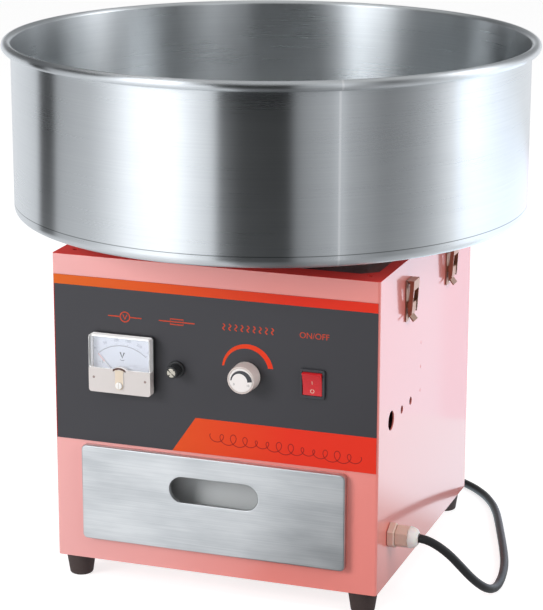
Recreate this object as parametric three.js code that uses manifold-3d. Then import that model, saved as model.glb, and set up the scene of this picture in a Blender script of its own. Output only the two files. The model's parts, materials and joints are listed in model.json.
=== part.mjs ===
// Electric cotton candy machine: a pink steel cabinet under an open stainless steel bowl.
// Millimetres, +Z up. X runs along the front, the front faces -Y, and the origin is on the floor
// under the centre of the bowl.
import * as THREE from 'three';
import { mergeVertices } from 'three/addons/utils/BufferGeometryUtils.js';
import Module from 'manifold-3d';

const wasm = await Module();
wasm.setup();

// Clearances
const fit = 0.3; // between pieces that seat on each other
const filmGap = 0.1; // adhesive under the control film
const slidingGap = 1.2; // beside a drawer in its runners
const turningGap = 0.7; // round a shaft in a bore

// Cabinet
const cabinetWidth = 325;
const cabinetDepth = 325;
const cabinetHeight = 304;
const footHeight = 22;
const sheet = 1.5;
const edgeRadius = 2.5;
const frontFlange = 24;
const sideFlange = 12;
const rearFlange = 16;
const bottomFlange = 34;
const flangeChamfer = [14, 11.5];
const flangeScrewRadius = 3;
const flangeScrewInset = [15.8, 20];
const deckRecess = 13;
const deckLip = 22;

// Feet
const footTopRadius = 14.5;
const footBottomRadius = 10.5;
const footInset = [17.5, 15.5];

// Control film and the row of controls
const filmThickness = 0.5;
const filmTopInset = 20;
const filmSideInset = 1.5;
const filmHeight = 163;
const rowInset = 102;
const meterX = -89.4;
const meterLift = 1.5;
const meterSize = [62.8, 56];
const meterDepth = 12.1;
const meterCorner = 2.6;
const meterWall = 1.6;
const meterBase = 3;
const meterBarrelRadius = 25;
const meterBarrelLength = 38;
const meterCoverShare = 23.5;
const meterHumpRadius = 10.7;
const meterHumpDrop = 8.4;
const meterHumpGap = 3;
const meterBarSize = [9, 20];
const meterBarRise = 0.6;
const zeroScrewRadius = 3.5;
const zeroScrewRise = 8.5;
const needleLength = 36.5;
const needleRest = 131;
const needleHubRadius = 2.6;
const dialThickness = 0.8;
const fuseX = -36;
const fuseCollarRadius = 8.25;
const fuseCollarThickness = 2.5;
const fuseBarrelRadius = 6;
const fuseBarrelLength = 28;
const fuseCapRadius = 6.2;
const fuseCapLength = 11;
const fuseLinkRadius = 2.6;
const fuseLinkLength = 20;
const knobX = 34;
const knobLift = 0.8;
const knobRadius = 14;
const knobHeight = 15.6;
const knobShaftRadius = 3;
const knobFaceRadius = 11.4;
const regulatorSize = [30, 30, 26];
const switchX = 99;
const bezelSize = [24, 28];
const bezelThickness = 2.2;
const rockerWidth = 19;
const rockerRadius = 11.1;
const rockerTilt = 9;
const switchDepth = 22;

// Drawer
const drawerFrontSize = [266, 95];
const drawerFrontBottom = 23;
const drawerFrontDepth = 6;
const drawerFrontGap = 0.6;
const drawerSheet = 1.2;
const drawerCorner = 4.5;
const slotSize = [89, 25.6];
const slotRise = 13.8;
const slotShift = 2.5; // to the right of the front's middle
const drawerOverlap = 8;
const trayLength = 280;
const trayFloorRise = 3;
const trayTopDrop = 5;
const fingerDepth = 20;
const runnerHeight = 74;
const runnerLeg = 12;

// Bowl and its seat
const bowlRadius = 251;
const bowlFloor = 22.4;
const bowlRimHeight = 168.9;
const bowlSheet = 1.2;
const knuckleRadius = 8;
const beadRadius = 5;
const bowlHoleRadius = 88;
const bowlHoleLip = 12;
const seatRadius = 92;
const seatFlange = 34;
const seatFoot = 16;

// Motor, shaft and spinning head
const motorRadius = 46;
const motorLength = 114;
const motorBossRadius = 15;
const motorBore = 7;
const mountSize = 120;
const mountThickness = 3;
const shaftRadius = 6;
const shaftBelowMotor = 20;
const fanRadius = 44;
const fanHeight = 11;
const fanBlades = 6;
const ringHubRadius = 20;
const ringHubHeight = 30;
const slipRingRadius = 22;
const slipRingWidth = 8;
const slipRingPitch = 12;
const brushSize = 8;
const brushLength = 20;
const brushHolderSize = [20, 15];
const headRise = 24.6;
const headRadius = 76;
const headWallHeight = 54;
const headCollarHeight = 8;
const headBossHeight = 21;
const headSheet = 3;
const bandThickness = 1.5;
const bandSlots = 16;
const heaterRadius = 66;
const heaterWidth = 8;
const sugarMouthRadius = 30;
const sugarMouthHeight = 16;

// Side latches
const latchSpacing = 72;
const latchDrop = 42;
const latchPlate = [20, 40];
const latchSheet = 1;
const latchPivotRise = 4.5;
const latchArm = 7;
const latchClawLength = 23.5;

// Cord gland, cord and plug
const glandAt = [-121, 69];
const glandFlats = 22;
const glandFlangeLength = 7;
const glandLength = 29;
const glandDomeLength = 8;
const glandShankRadius = 8;
const cordRadius = 4.2;
const coilCentre = [30, 200];
const coilInnerRadius = 31;
const coilOuterRadius = 56.4;
const coilHeight = 17;
const plugBodyRadius = 13;
const plugBodyLength = 34;
const plugTailLength = 24;
const plugPinRadius = 2.4;
const plugPinLength = 19;
const plugPinSpacing = 19;

// Right side panel holes, each with its place along the side and its radius
const sideHoleRow = 143.5;
const sideHoles = [[-121.5, 9.5], [-86, 4], [-56.5, 4]];

// Places worked out from the sizes
const halfWidth = cabinetWidth / 2;
const halfDepth = cabinetDepth / 2;
const cabinetBottom = footHeight;
const cabinetTop = cabinetBottom + cabinetHeight;
const rowHeight = cabinetTop - rowInset;
const meterHeight = rowHeight + meterLift;
const knobRow = rowHeight + knobLift;
const filmTop = cabinetTop - filmTopInset;
const filmBottom = filmTop - filmHeight;
const filmFace = filmGap + filmThickness;
const seatFace = filmFace + fit;
const deckTop = cabinetTop - sheet - deckRecess;
const deckBottom = deckTop - sheet;

// Solids from three.js geometry
function solidOf(geometry) {
  const bare = geometry.clone();
  bare.deleteAttribute('normal');
  bare.deleteAttribute('uv');
  const merged = mergeVertices(bare, 1e-5);
  const index = merged.index.array;
  const triVerts = [];
  for (let i = 0; i < index.length; i += 3) {
    const [a, b, c] = [index[i], index[i + 1], index[i + 2]];
    if (a !== b && b !== c && c !== a) triVerts.push(a, b, c);
  }
  return new wasm.Manifold(new wasm.Mesh({
    numProp: 3,
    vertProperties: new Float32Array(merged.attributes.position.array),
    triVerts: new Uint32Array(triVerts),
  }));
}

function joined(...solids) {
  return solids.reduce((whole, solid) => whole.add(solid));
}

function cut(solid, ...tools) {
  return tools.reduce((rest, tool) => rest.subtract(tool), solid);
}

function box(x0, x1, y0, y1, z0, z1) {
  const geometry = new THREE.BoxGeometry(x1 - x0, y1 - y0, z1 - z0);
  geometry.translate((x0 + x1) / 2, (y0 + y1) / 2, (z0 + z1) / 2);
  return solidOf(geometry);
}

// Moves a shape drawn along +Z so that it runs along the named axis
function alongAxis(geometry, axis) {
  const x = new THREE.Vector3(1, 0, 0);
  const y = new THREE.Vector3(0, 1, 0);
  const z = new THREE.Vector3(0, 0, 1);
  const bases = { x: [y, z, x], y: [z, x, y], z: [x, y, z] };
  return geometry.applyMatrix4(new THREE.Matrix4().makeBasis(...bases[axis]));
}

// An outline extruded along an axis: its points are (y, z) for x, (z, x) for y and (x, y) for z
function prism(axis, outline, from, to) {
  const shape = new THREE.Shape(outline.map(([u, v]) => new THREE.Vector2(u, v)));
  const geometry = new THREE.ExtrudeGeometry(shape, { depth: to - from, bevelEnabled: false });
  geometry.translate(0, 0, from);
  return solidOf(alongAxis(geometry, axis));
}

function rod(axis, radius, from, to, [u, v] = [0, 0], sides = 16) {
  const geometry = new THREE.CylinderGeometry(radius, radius, to - from, sides);
  geometry.rotateX(Math.PI / 2);
  geometry.translate(u, v, (from + to) / 2);
  return solidOf(alongAxis(geometry, axis));
}

// A closed outline of (radius, height) points, outer side going up, turned about +Z
function turned(outline, sides = 24) {
  const [first] = outline;
  const points = [...outline, first].map(([r, h]) => new THREE.Vector2(r, h));
  return solidOf(new THREE.LatheGeometry(points, sides).rotateX(Math.PI / 2));
}

function arc(cx, cy, radius, fromDegrees, toDegrees, steps) {
  const points = [];
  for (let i = 0; i <= steps; i += 1) {
    const angle = THREE.MathUtils.degToRad(fromDegrees + ((toDegrees - fromDegrees) * i) / steps);
    points.push([cx + radius * Math.cos(angle), cy + radius * Math.sin(angle)]);
  }
  return points;
}

function roundedRectangle(width, height, radius, steps = 4) {
  const x = width / 2 - radius;
  const y = height / 2 - radius;
  return [
    ...arc(x, y, radius, 0, 90, steps),
    ...arc(-x, y, radius, 90, 180, steps),
    ...arc(-x, -y, radius, 180, 270, steps),
    ...arc(x, -y, radius, 270, 360, steps),
  ];
}

function shifted(outline, dx, dy) {
  return outline.map(([x, y]) => [x + dx, y + dy]);
}

function hexagon(acrossFlats) {
  return arc(0, 0, acrossFlats / Math.sqrt(3), 0, 300, 5);
}

// Finishes, each with its colour, roughness and metalness
const finishes = {
  pinkPaint: [0xe8a09a, 0.35, 0.0],
  darkPaint: [0x4c3e3c, 0.55, 0.2],
  film: [0x48474a, 0.45, 0.0],
  steel: [0xb8bcc0, 0.28, 1.0],
  aluminium: [0xa8abae, 0.4, 1.0],
  zincPlate: [0xb59a84, 0.35, 0.9],
  blackPlastic: [0x161616, 0.4, 0.0],
  rubber: [0x1b1b1c, 0.75, 0.0],
  ivoryPlastic: [0xe9e2cf, 0.4, 0.0],
  clearPlastic: [0xeef2f4, 0.1, 0.0],
  dialCard: [0xe6edf3, 0.6, 0.0],
  redPlastic: [0xc42f33, 0.35, 0.0],
  needleRed: [0xc8322c, 0.4, 0.0],
  greyPlastic: [0xa89f94, 0.45, 0.0],
  cordJacket: [0x1a1a1b, 0.6, 0.0],
  brass: [0xb5904a, 0.35, 1.0],
  carbon: [0x2a2a2c, 0.7, 0.1],
  glass: [0xdfe8ea, 0.05, 0.0],
};

const machine = new THREE.Group();

function piece(name, solid, finish, parent = machine) {
  const { vertProperties, triVerts } = solid.getMesh();
  const geometry = new THREE.BufferGeometry();
  geometry.setAttribute('position', new THREE.BufferAttribute(vertProperties, 3));
  geometry.setIndex(new THREE.BufferAttribute(triVerts, 1));
  geometry.computeVertexNormals();
  const [color, roughness, metalness] = finishes[finish];
  const material = new THREE.MeshStandardMaterial({ color, roughness, metalness });
  const mesh = new THREE.Mesh(geometry, material);
  mesh.name = name;
  parent.add(mesh);
  return mesh;
}

// A group whose local +Z points out of a cabinet face and whose local +Y points up
function onFace(outward, position) {
  const out = new THREE.Vector3(...outward);
  const up = new THREE.Vector3(0, 0, 1);
  const across = new THREE.Vector3().crossVectors(up, out);
  const group = new THREE.Group();
  group.quaternion.setFromRotationMatrix(new THREE.Matrix4().makeBasis(across, up, out));
  group.position.set(...position);
  machine.add(group);
  return group;
}

// Cabinet shell
const frontY = -halfDepth;
const holeThroughFront = [frontY - sheet, frontY + 2 * sheet];
const holeThroughSide = [halfWidth - 2 * sheet, halfWidth + sheet];
const meterHoleRadius = meterBarrelRadius + turningGap;
const fuseHoleRadius = fuseBarrelRadius + turningGap;
const bushRadius = knobShaftRadius + 1.7;
const knobHoleRadius = bushRadius + fit;
const switchBody = [bezelSize[0] - 3, bezelSize[1] - 3.4];
const switchHole = [switchBody[0] + 2 * fit, switchBody[1] + 2 * fit];
const drawerBottom = cabinetBottom + drawerFrontBottom;
const drawerTop = drawerBottom + drawerFrontSize[1];
const drawerHalf = drawerFrontSize[0] / 2;

function chamferedOpening() {
  const [cx, cy] = flangeChamfer;
  const x = halfWidth - sideFlange;
  const front = -halfDepth + frontFlange;
  const rear = halfDepth - rearFlange;
  return [
    [-x + cx, front], [x - cx, front], [x, front + cy], [x, rear - cy],
    [x - cx, rear], [-x + cx, rear], [-x, rear - cy], [-x, front + cy],
  ];
}

function flangeScrewPlaces() {
  const x = halfWidth - flangeScrewInset[0];
  const y = halfDepth - flangeScrewInset[1];
  return [[x, -y], [-x, -y]];
}

function cabinetShell() {
  const outline = roundedRectangle(cabinetWidth, cabinetDepth, edgeRadius, 3);
  const inside = roundedRectangle(
    cabinetWidth - 2 * sheet, cabinetDepth - 2 * sheet, edgeRadius - sheet, 3,
  );
  const shell = cut(
    prism('z', outline, cabinetBottom, cabinetTop),
    prism('z', inside, cabinetBottom + sheet, cabinetTop - sheet),
  );
  const topOpening = prism('z', chamferedOpening(), cabinetTop - 2 * sheet, cabinetTop + sheet);
  const bottomOpening = box(
    -halfWidth + bottomFlange, halfWidth - bottomFlange,
    -halfDepth + bottomFlange, halfDepth - bottomFlange,
    cabinetBottom - sheet, cabinetBottom + 2 * sheet,
  );
  const rearOpening = box(
    -halfWidth + rearFlange, halfWidth - rearFlange,
    halfDepth - 2 * sheet, halfDepth + sheet,
    cabinetBottom + rearFlange, cabinetTop - rearFlange,
  );
  const drawerOpening = box(
    -drawerHalf + drawerOverlap, drawerHalf - drawerOverlap, ...holeThroughFront,
    drawerBottom + drawerOverlap, drawerTop - drawerOverlap,
  );
  const frontHoles = [
    rod('y', meterHoleRadius, ...holeThroughFront, [meterHeight, meterX]),
    rod('y', fuseHoleRadius, ...holeThroughFront, [rowHeight, fuseX]),
    rod('y', knobHoleRadius, ...holeThroughFront, [knobRow, knobX]),
    box(
      switchX - switchHole[0] / 2, switchX + switchHole[0] / 2, ...holeThroughFront,
      rowHeight - switchHole[1] / 2, rowHeight + switchHole[1] / 2,
    ),
  ];
  const holesInSide = sideHoles.map(([y, radius]) => (
    rod('x', radius, ...holeThroughSide, [y, cabinetTop - sideHoleRow])
  ));
  const glandHole = rod('x', glandShankRadius + fit, ...holeThroughSide, glandAt);
  const screwHoles = flangeScrewPlaces().map((place) => (
    rod('z', flangeScrewRadius, cabinetTop - 2 * sheet, cabinetTop + sheet, place, 8)
  ));
  return cut(
    shell, topOpening, bottomOpening, rearOpening, drawerOpening,
    ...frontHoles, ...holesInSide, glandHole, ...screwHoles,
  );
}
piece('cabinet_shell', cabinetShell(), 'pinkPaint');

// Back and bottom sheets, with rows of vent slots
const ventSlot = [64, 4];
const ventPitch = 12;

function rearPanel() {
  const margin = rearFlange / 2;
  const y0 = halfDepth + fit;
  const y1 = y0 + sheet;
  let panel = box(
    -halfWidth + margin, halfWidth - margin, y0, y1,
    cabinetBottom + margin, cabinetTop - margin,
  );
  for (let row = 0; row < 5; row += 1) {
    const z = cabinetTop - 70 - row * ventPitch;
    for (const x of [-ventSlot[0] * 0.75, ventSlot[0] * 0.75]) {
      panel = cut(panel, box(
        x - ventSlot[0] / 2, x + ventSlot[0] / 2, y0 - sheet, y1 + sheet, z, z + ventSlot[1],
      ));
    }
  }
  return panel;
}
piece('rear_panel', rearPanel(), 'pinkPaint');

const baseTop = cabinetBottom + 2 * sheet + fit;

function basePlate() {
  const x = halfWidth - sheet - fit;
  const y = halfDepth - sheet - fit;
  let plate = box(-x, x, -y, y, baseTop - sheet, baseTop);
  for (let row = -2; row <= 2; row += 1) {
    const at = row * ventPitch;
    plate = cut(plate, box(
      -ventSlot[0] / 2, ventSlot[0] / 2, at, at + ventSlot[1], baseTop - 2 * sheet, baseTop + sheet,
    ));
  }
  return plate;
}
piece('base_plate', basePlate(), 'pinkPaint');

// Deck: a tray whose lip is fastened under the cabinet's top flange
const deckHoleRadius = motorBossRadius + turningGap;

function topDeck() {
  const x = halfWidth - sheet - fit;
  const y = halfDepth - sheet - fit;
  const lipTop = cabinetTop - sheet - fit;
  const well = [x - deckLip, y - frontFlange - sheet];
  const block = joined(
    box(-x, x, -y, y, lipTop - sheet, lipTop),
    box(-well[0], well[0], -well[1], well[1], deckBottom, lipTop),
  );
  return cut(
    block,
    box(
      -well[0] + sheet, well[0] - sheet, -well[1] + sheet, well[1] - sheet, deckTop, lipTop + sheet,
    ),
    rod('z', deckHoleRadius, deckBottom - sheet, deckTop + sheet),
    ...flangeScrewPlaces().map((place) => (
      rod('z', flangeScrewRadius, lipTop - 2 * sheet, lipTop + sheet, place, 8)
    )),
  );
}
piece('top_deck', topDeck(), 'darkPaint');

// Feet
function foot() {
  const top = footHeight - fit;
  return turned([
    [0, 0], [footBottomRadius, 0], [footBottomRadius + 1, 1.2], [footTopRadius, top], [0, top],
  ], 24);
}
const footX = halfWidth - footInset[0];
const footY = halfDepth - footInset[1];
const footPlaces = {
  foot_front_left: [-footX, -footY],
  foot_front_right: [footX, -footY],
  foot_rear_left: [-footX, footY],
  foot_rear_right: [footX, footY],
};
for (const [name, [x, y]] of Object.entries(footPlaces)) {
  piece(name, foot(), 'rubber').position.set(x, y, 0);
}

// Control film on the front
function controlFilm() {
  const x = halfWidth - filmSideInset;
  return cut(
    box(-x, x, filmBottom, filmTop, filmGap, filmFace),
    rod('z', meterHoleRadius, 0, 1, [meterX, meterHeight]),
    rod('z', fuseHoleRadius, 0, 1, [fuseX, rowHeight]),
    rod('z', knobHoleRadius, 0, 1, [knobX, knobRow]),
    box(
      switchX - switchHole[0] / 2, switchX + switchHole[0] / 2,
      rowHeight - switchHole[1] / 2, rowHeight + switchHole[1] / 2, 0, 1,
    ),
  );
}
const front = onFace([0, -1, 0], [0, frontY, 0]);
piece('control_overlay', controlFilm(), 'film', front);

// Voltmeter: case behind, dial, clear window above, ivory cover below, needle and zero screw
const meter = onFace([0, -1, 0], [meterX, frontY, meterHeight]);
const meterBaseTop = seatFace + meterBase;
const meterFront = seatFace + meterDepth;
const dialBack = meterBaseTop + fit;
const dialTop = dialBack + dialThickness;
const coverSplit = -meterSize[1] / 2 + meterCoverShare;
const screwDrop = -meterSize[1] / 2 + zeroScrewRise;
const humpAt = [0, coverSplit - meterHumpDrop];
const humpBack = dialTop + meterHumpGap;

piece('voltmeter_case', joined(
  prism('z', roundedRectangle(...meterSize, meterCorner), seatFace, meterBaseTop),
  rod('z', meterBarrelRadius, -meterBarrelLength, meterBaseTop - 1, [0, 0], 24),
), 'blackPlastic', meter);

const dialInset = meterWall + fit;
piece('voltmeter_dial', prism('z', roundedRectangle(
  meterSize[0] - 2 * dialInset, meterSize[1] - 2 * dialInset, meterCorner - meterWall,
), dialBack, dialTop), 'dialCard', meter);

function meterHood() {
  const inside = roundedRectangle(
    meterSize[0] - 2 * meterWall, meterSize[1] - 2 * meterWall, meterCorner - meterWall,
  );
  return cut(
    prism('z', roundedRectangle(...meterSize, meterCorner), dialBack, meterFront),
    prism('z', inside, dialBack - 1, meterFront - meterWall),
  );
}
const wideOfMeter = meterSize[0];
const aboveSplit = box(
  -wideOfMeter, wideOfMeter, coverSplit + fit / 2, meterSize[1], 0, 2 * meterDepth,
);
const belowSplit = box(
  -wideOfMeter, wideOfMeter, -meterSize[1], coverSplit - fit / 2, 0, 2 * meterDepth,
);
piece('voltmeter_window', cut(
  meterHood().intersect(aboveSplit),
  rod('z', meterHumpRadius + fit, humpBack - 1, meterFront + 1, humpAt, 24),
), 'clearPlastic', meter);

const meterBar = prism('z', shifted(
  roundedRectangle(...meterBarSize, meterBarSize[0] / 2 - 0.01), 0,
  screwDrop - meterBarSize[0] / 2 + meterBarSize[1] / 2,
), meterFront - 1, meterFront + meterBarRise);
piece('voltmeter_cover', joined(
  meterHood().intersect(belowSplit),
  rod('z', meterHumpRadius, humpBack, meterFront, humpAt, 24).subtract(
    box(-wideOfMeter, wideOfMeter, -meterSize[1], coverSplit - fit, 0, meterFront - meterWall),
  ),
  meterBar,
), 'ivoryPlastic', meter);

const zeroAngle = THREE.MathUtils.degToRad(needleRest);
function needle() {
  const pivot = [0, screwDrop];
  const from = dialTop + fit;
  const along = [Math.cos(zeroAngle), Math.sin(zeroAngle)];
  const blade = [
    [-1, -0.9], [needleLength, -0.3], [needleLength, 0.3], [-1, 0.9],
  ].map(([u, v]) => [
    pivot[0] + u * along[0] - v * along[1],
    pivot[1] + u * along[1] + v * along[0],
  ]);
  return joined(
    rod('z', needleHubRadius, from, from + 2, pivot, 16),
    prism('z', blade, from + 1, from + 1.6),
  );
}
piece('voltmeter_needle', needle(), 'needleRed', meter);

const zeroScrewBack = meterFront + meterBarRise + fit;
const zeroScrewFront = zeroScrewBack + 1.2;
piece('zero_screw', cut(
  rod('z', zeroScrewRadius, zeroScrewBack, zeroScrewFront, [0, screwDrop], 20),
  box(
    -0.5, 0.5, screwDrop - zeroScrewRadius, screwDrop + zeroScrewRadius,
    zeroScrewFront - 0.5, zeroScrewFront + 1,
  ),
), 'ivoryPlastic', meter);

// Fuse holder with its carrier cap and the glass fuse
const fuse = onFace([0, -1, 0], [fuseX, frontY, rowHeight]);
const fuseCollarFace = seatFace + fuseCollarThickness;
const fuseCapBack = fuseCollarFace + fit;
const fuseCapFront = fuseCapBack + fuseCapLength;
const fuseBore = fuseLinkRadius + turningGap;
const fuseRecess = fuseLinkRadius + fit;
const fuseLinkFront = fuseCapBack + 5;

piece('fuse_holder', cut(
  joined(
    rod('z', fuseCollarRadius, seatFace, fuseCollarFace),
    rod('z', fuseBarrelRadius, -fuseBarrelLength, fuseCollarFace - 1),
  ),
  rod('z', fuseBore, -fuseBarrelLength + 2, fuseCollarFace + 1),
), 'blackPlastic', fuse);
piece('fuse_link', rod(
  'z', fuseLinkRadius, fuseLinkFront - fuseLinkLength, fuseLinkFront, [0, 0], 16,
), 'glass', fuse);
piece('fuse_cap', cut(
  rod('z', fuseCapRadius, fuseCapBack, fuseCapFront),
  rod('z', fuseRecess, fuseCapBack - 1, fuseLinkFront + fit, [0, 0], 16),
  box(-0.7, 0.7, -fuseCapRadius, fuseCapRadius, fuseCapFront - 1.2, fuseCapFront + 1),
), 'blackPlastic', fuse);

// Heat knob and the regulator behind the panel
const knob = onFace([0, -1, 0], [knobX, frontY, knobRow]);
const knobBack = seatFace + fit;
const knobFront = knobBack + knobHeight;
const faceRecess = 1;
const regulatorFront = -sheet - fit;
const shaftEnd = regulatorFront - 10;

piece('regulator_body', cut(
  joined(
    box(
      -regulatorSize[0] / 2, regulatorSize[0] / 2, -regulatorSize[1] / 2, regulatorSize[1] / 2,
      regulatorFront - regulatorSize[2], regulatorFront,
    ),
    rod('z', bushRadius, regulatorFront - 1, filmFace),
  ),
  rod('z', knobShaftRadius + fit, shaftEnd - fit, seatFace),
), 'blackPlastic', knob);
piece('heat_knob', joined(
  turned([
    [0, knobBack], [knobRadius, knobBack], [knobRadius - 1, knobFront],
    [knobFaceRadius + fit, knobFront], [knobFaceRadius + fit, knobFront - faceRecess],
    [0, knobFront - faceRecess],
  ]),
  rod('z', knobShaftRadius, shaftEnd, knobBack + 1),
), 'greyPlastic', knob);
piece('knob_face', rod(
  'z', knobFaceRadius, knobFront - faceRecess + fit, knobFront + 0.1, [0, 0], 32,
), 'aluminium', knob);

// Rocker switch
const power = onFace([0, -1, 0], [switchX, frontY, rowHeight]);
const bezelFront = seatFace + bezelThickness;
const rockerPivot = bezelFront - 2.3;
const rockerPocket = [rockerWidth + 2 * fit, 2 * (rockerRadius + fit)];

piece('switch_housing', cut(
  joined(
    prism('z', roundedRectangle(...bezelSize, 2, 3), seatFace, bezelFront),
    box(
      -switchBody[0] / 2, switchBody[0] / 2, -switchBody[1] / 2, switchBody[1] / 2,
      -switchDepth, bezelFront - 1,
    ),
  ),
  box(
    -rockerPocket[0] / 2, rockerPocket[0] / 2, -rockerPocket[1] / 2, rockerPocket[1] / 2,
    rockerPivot - 9, bezelFront + 1,
  ),
), 'blackPlastic', power);

// The rocker's ends are arcs about its pin; switched off, its top end stands out
function rocker() {
  const crest = 17;
  const root = -20;
  const outline = [
    ...arc(0, 0, rockerRadius, root + rockerTilt, crest + rockerTilt, 4),
    ...arc(0, 0, rockerRadius, 180 - crest + rockerTilt, 180 - root + rockerTilt, 4),
  ];
  const dip = [-0.3, 1.9];
  outline.splice(5, 0, dip);
  return prism('x', outline.map(([y, z]) => [y, z + rockerPivot]),
    -rockerWidth / 2, rockerWidth / 2);
}
piece('switch_rocker', rocker(), 'redPlastic', power);

// Drawer: a folded front pan and the tray behind it, whose front wall leaves room for fingers
const drawerMiddle = (drawerBottom + drawerTop) / 2;
const slotMiddle = drawerMiddle + slotRise;
const panBack = drawerFrontGap;
const panFront = panBack + drawerFrontDepth;

piece('drawer_front', cut(
  prism('z', shifted(
    roundedRectangle(...drawerFrontSize, drawerCorner), 0, drawerMiddle,
  ), panBack, panFront),
  prism('z', shifted(roundedRectangle(
    drawerFrontSize[0] - 2 * drawerSheet, drawerFrontSize[1] - 2 * drawerSheet,
    drawerCorner - drawerSheet,
  ), 0, drawerMiddle), panBack - 1, panFront - drawerSheet),
  prism('z', shifted(
    roundedRectangle(...slotSize, slotSize[1] / 2 - 0.01, 8), slotShift, slotMiddle,
  ), panBack, panFront + 1),
), 'steel', front);

const trayHalf = drawerHalf - drawerOverlap - slidingGap - fit;
const trayBottom = drawerBottom + drawerOverlap + trayFloorRise;
const trayTop = drawerTop - drawerOverlap - trayTopDrop;
const trayNose = frontY - panFront + drawerSheet + fit;
const trayWall = frontY + fingerDepth;
const trayEnd = trayNose + trayLength;

piece('drawer_tray', cut(
  box(-trayHalf, trayHalf, trayNose, trayEnd, trayBottom, trayTop),
  box(
    -trayHalf + drawerSheet, trayHalf - drawerSheet, trayWall, trayEnd - drawerSheet,
    trayBottom + drawerSheet, trayTop + 1,
  ),
  box(
    -trayHalf + drawerSheet, trayHalf - drawerSheet, trayNose - 1, trayWall - drawerSheet,
    trayBottom + drawerSheet, trayTop + 1,
  ),
), 'steel');

// Runners stand on the base plate, one on each side of the tray
const runnerInner = trayHalf + slidingGap;
const runnerOuter = runnerInner + sheet;
const runnerFront = frontY + sheet + fit;
const runnerBase = baseTop + fit;
const legTop = trayBottom - fit;

for (const [name, side] of [['drawer_runner_left', -1], ['drawer_runner_right', 1]]) {
  const across = (a, b) => [Math.min(side * a, side * b), Math.max(side * a, side * b)];
  piece(name, joined(
    box(
      ...across(runnerInner, runnerOuter), runnerFront, trayEnd,
      runnerBase, runnerBase + runnerHeight,
    ),
    box(...across(runnerInner - runnerLeg, runnerOuter), runnerFront, trayEnd,
      legTop - sheet, legTop),
    box(...across(runnerInner, runnerOuter + runnerLeg), runnerFront, trayEnd,
      runnerBase, runnerBase + sheet),
  ), 'steel');
}

// Motor under the deck, with its mount plate
const mountTop = deckBottom - fit;
const mountBottom = mountTop - mountThickness;
const motorTop = mountBottom - fit;
const motorBottom = motorTop - motorLength;
const bossTop = deckTop - fit;

piece('motor_mount', cut(
  prism('z', roundedRectangle(mountSize, mountSize, 10), mountBottom, mountTop),
  rod('z', deckHoleRadius, mountBottom - 1, mountTop + 1),
), 'zincPlate');
piece('motor_case', turned([
  [motorBore, motorBottom], [motorRadius * 0.65, motorBottom],
  [motorRadius, motorBottom + 10], [motorRadius, motorTop - 12],
  [motorRadius * 0.8, motorTop], [motorBossRadius, motorTop],
  [motorBossRadius, bossTop], [motorBore, bossTop],
]), 'aluminium');

// Shaft, fan and slip ring hub
const shaftBottom = motorBottom - shaftBelowMotor;
const bowlBottom = cabinetTop + bowlFloor;
const headFloor = bowlBottom + headRise;
const headBossTop = headFloor + headBossHeight;
const hubBore = shaftRadius + fit;

piece('motor_shaft', turned([
  [0, shaftBottom], [shaftRadius - 1, shaftBottom], [shaftRadius, shaftBottom + 1],
  [shaftRadius, headBossTop + 2], [shaftRadius - 1, headBossTop + 3], [0, headBossTop + 3],
], 24), 'steel');

function fan() {
  const base = shaftBottom + 4;
  let rotor = rod('z', 2 * shaftRadius, base, base + fanHeight);
  for (let i = 0; i < fanBlades; i += 1) {
    const blade = new THREE.BoxGeometry(fanRadius - shaftRadius * 1.7, 1.6, fanHeight * 1.25);
    blade.rotateX(THREE.MathUtils.degToRad(40));
    blade.translate((fanRadius + shaftRadius * 1.7) / 2, 0, base + fanHeight / 2);
    blade.rotateZ((i * 2 * Math.PI) / fanBlades);
    rotor = rotor.add(solidOf(blade));
  }
  return cut(rotor, rod('z', hubBore, base - fanHeight, base + 2 * fanHeight));
}
piece('cooling_fan', fan(), 'blackPlastic');

const ringHubBottom = deckTop + 2.5;
const ringMiddle = ringHubBottom + ringHubHeight / 2;
const ringCentres = [ringMiddle - slipRingPitch / 2, ringMiddle + slipRingPitch / 2];

piece('slip_ring_hub', turned([
  [hubBore, ringHubBottom], [ringHubRadius, ringHubBottom],
  ...ringCentres.flatMap((z) => [
    [ringHubRadius, z - slipRingWidth / 2], [slipRingRadius, z - slipRingWidth / 2],
    [slipRingRadius, z + slipRingWidth / 2], [ringHubRadius, z + slipRingWidth / 2],
  ]),
  [ringHubRadius, ringHubBottom + ringHubHeight], [hubBore, ringHubBottom + ringHubHeight],
]), 'brass');

// Brush holder on the deck, with two carbon brushes that bear on the slip rings
const brushFront = slipRingRadius + fit;
const holderFront = brushFront + 4;
const holderBack = holderFront + brushHolderSize[0];
const boreHalf = brushSize / 2 + fit;

piece('brush_holder', cut(
  joined(
    box(
      holderFront, holderBack, -brushHolderSize[1] / 2, brushHolderSize[1] / 2,
      deckTop + fit, ringHubBottom + ringHubHeight,
    ),
    box(
      holderFront, holderBack, -brushHolderSize[1], brushHolderSize[1],
      deckTop + fit, deckTop + fit + 3,
    ),
  ),
  ...ringCentres.map((z) => (
    box(holderFront - 1, holderBack + 1, -boreHalf, boreHalf, z - boreHalf, z + boreHalf)
  )),
), 'carbon');
ringCentres.forEach((z, i) => {
  piece(['brush_lower', 'brush_upper'][i], box(
    brushFront, brushFront + brushLength, -brushSize / 2, brushSize / 2,
    z - brushSize / 2, z + brushSize / 2,
  ), 'carbon');
});

// Seat ring that holds the bowl above the cabinet
const seatBottom = deckTop + fit;
const seatTop = bowlBottom - fit;

piece('bowl_seat', turned([
  [seatRadius, seatBottom], [seatRadius + seatFoot, seatBottom],
  [seatRadius + seatFoot, seatBottom + sheet], [seatRadius + sheet, seatBottom + sheet],
  [seatRadius + sheet, seatTop - sheet], [seatRadius + seatFlange, seatTop - sheet],
  [seatRadius + seatFlange, seatTop], [seatRadius, seatTop],
], 32), 'steel');

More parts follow.
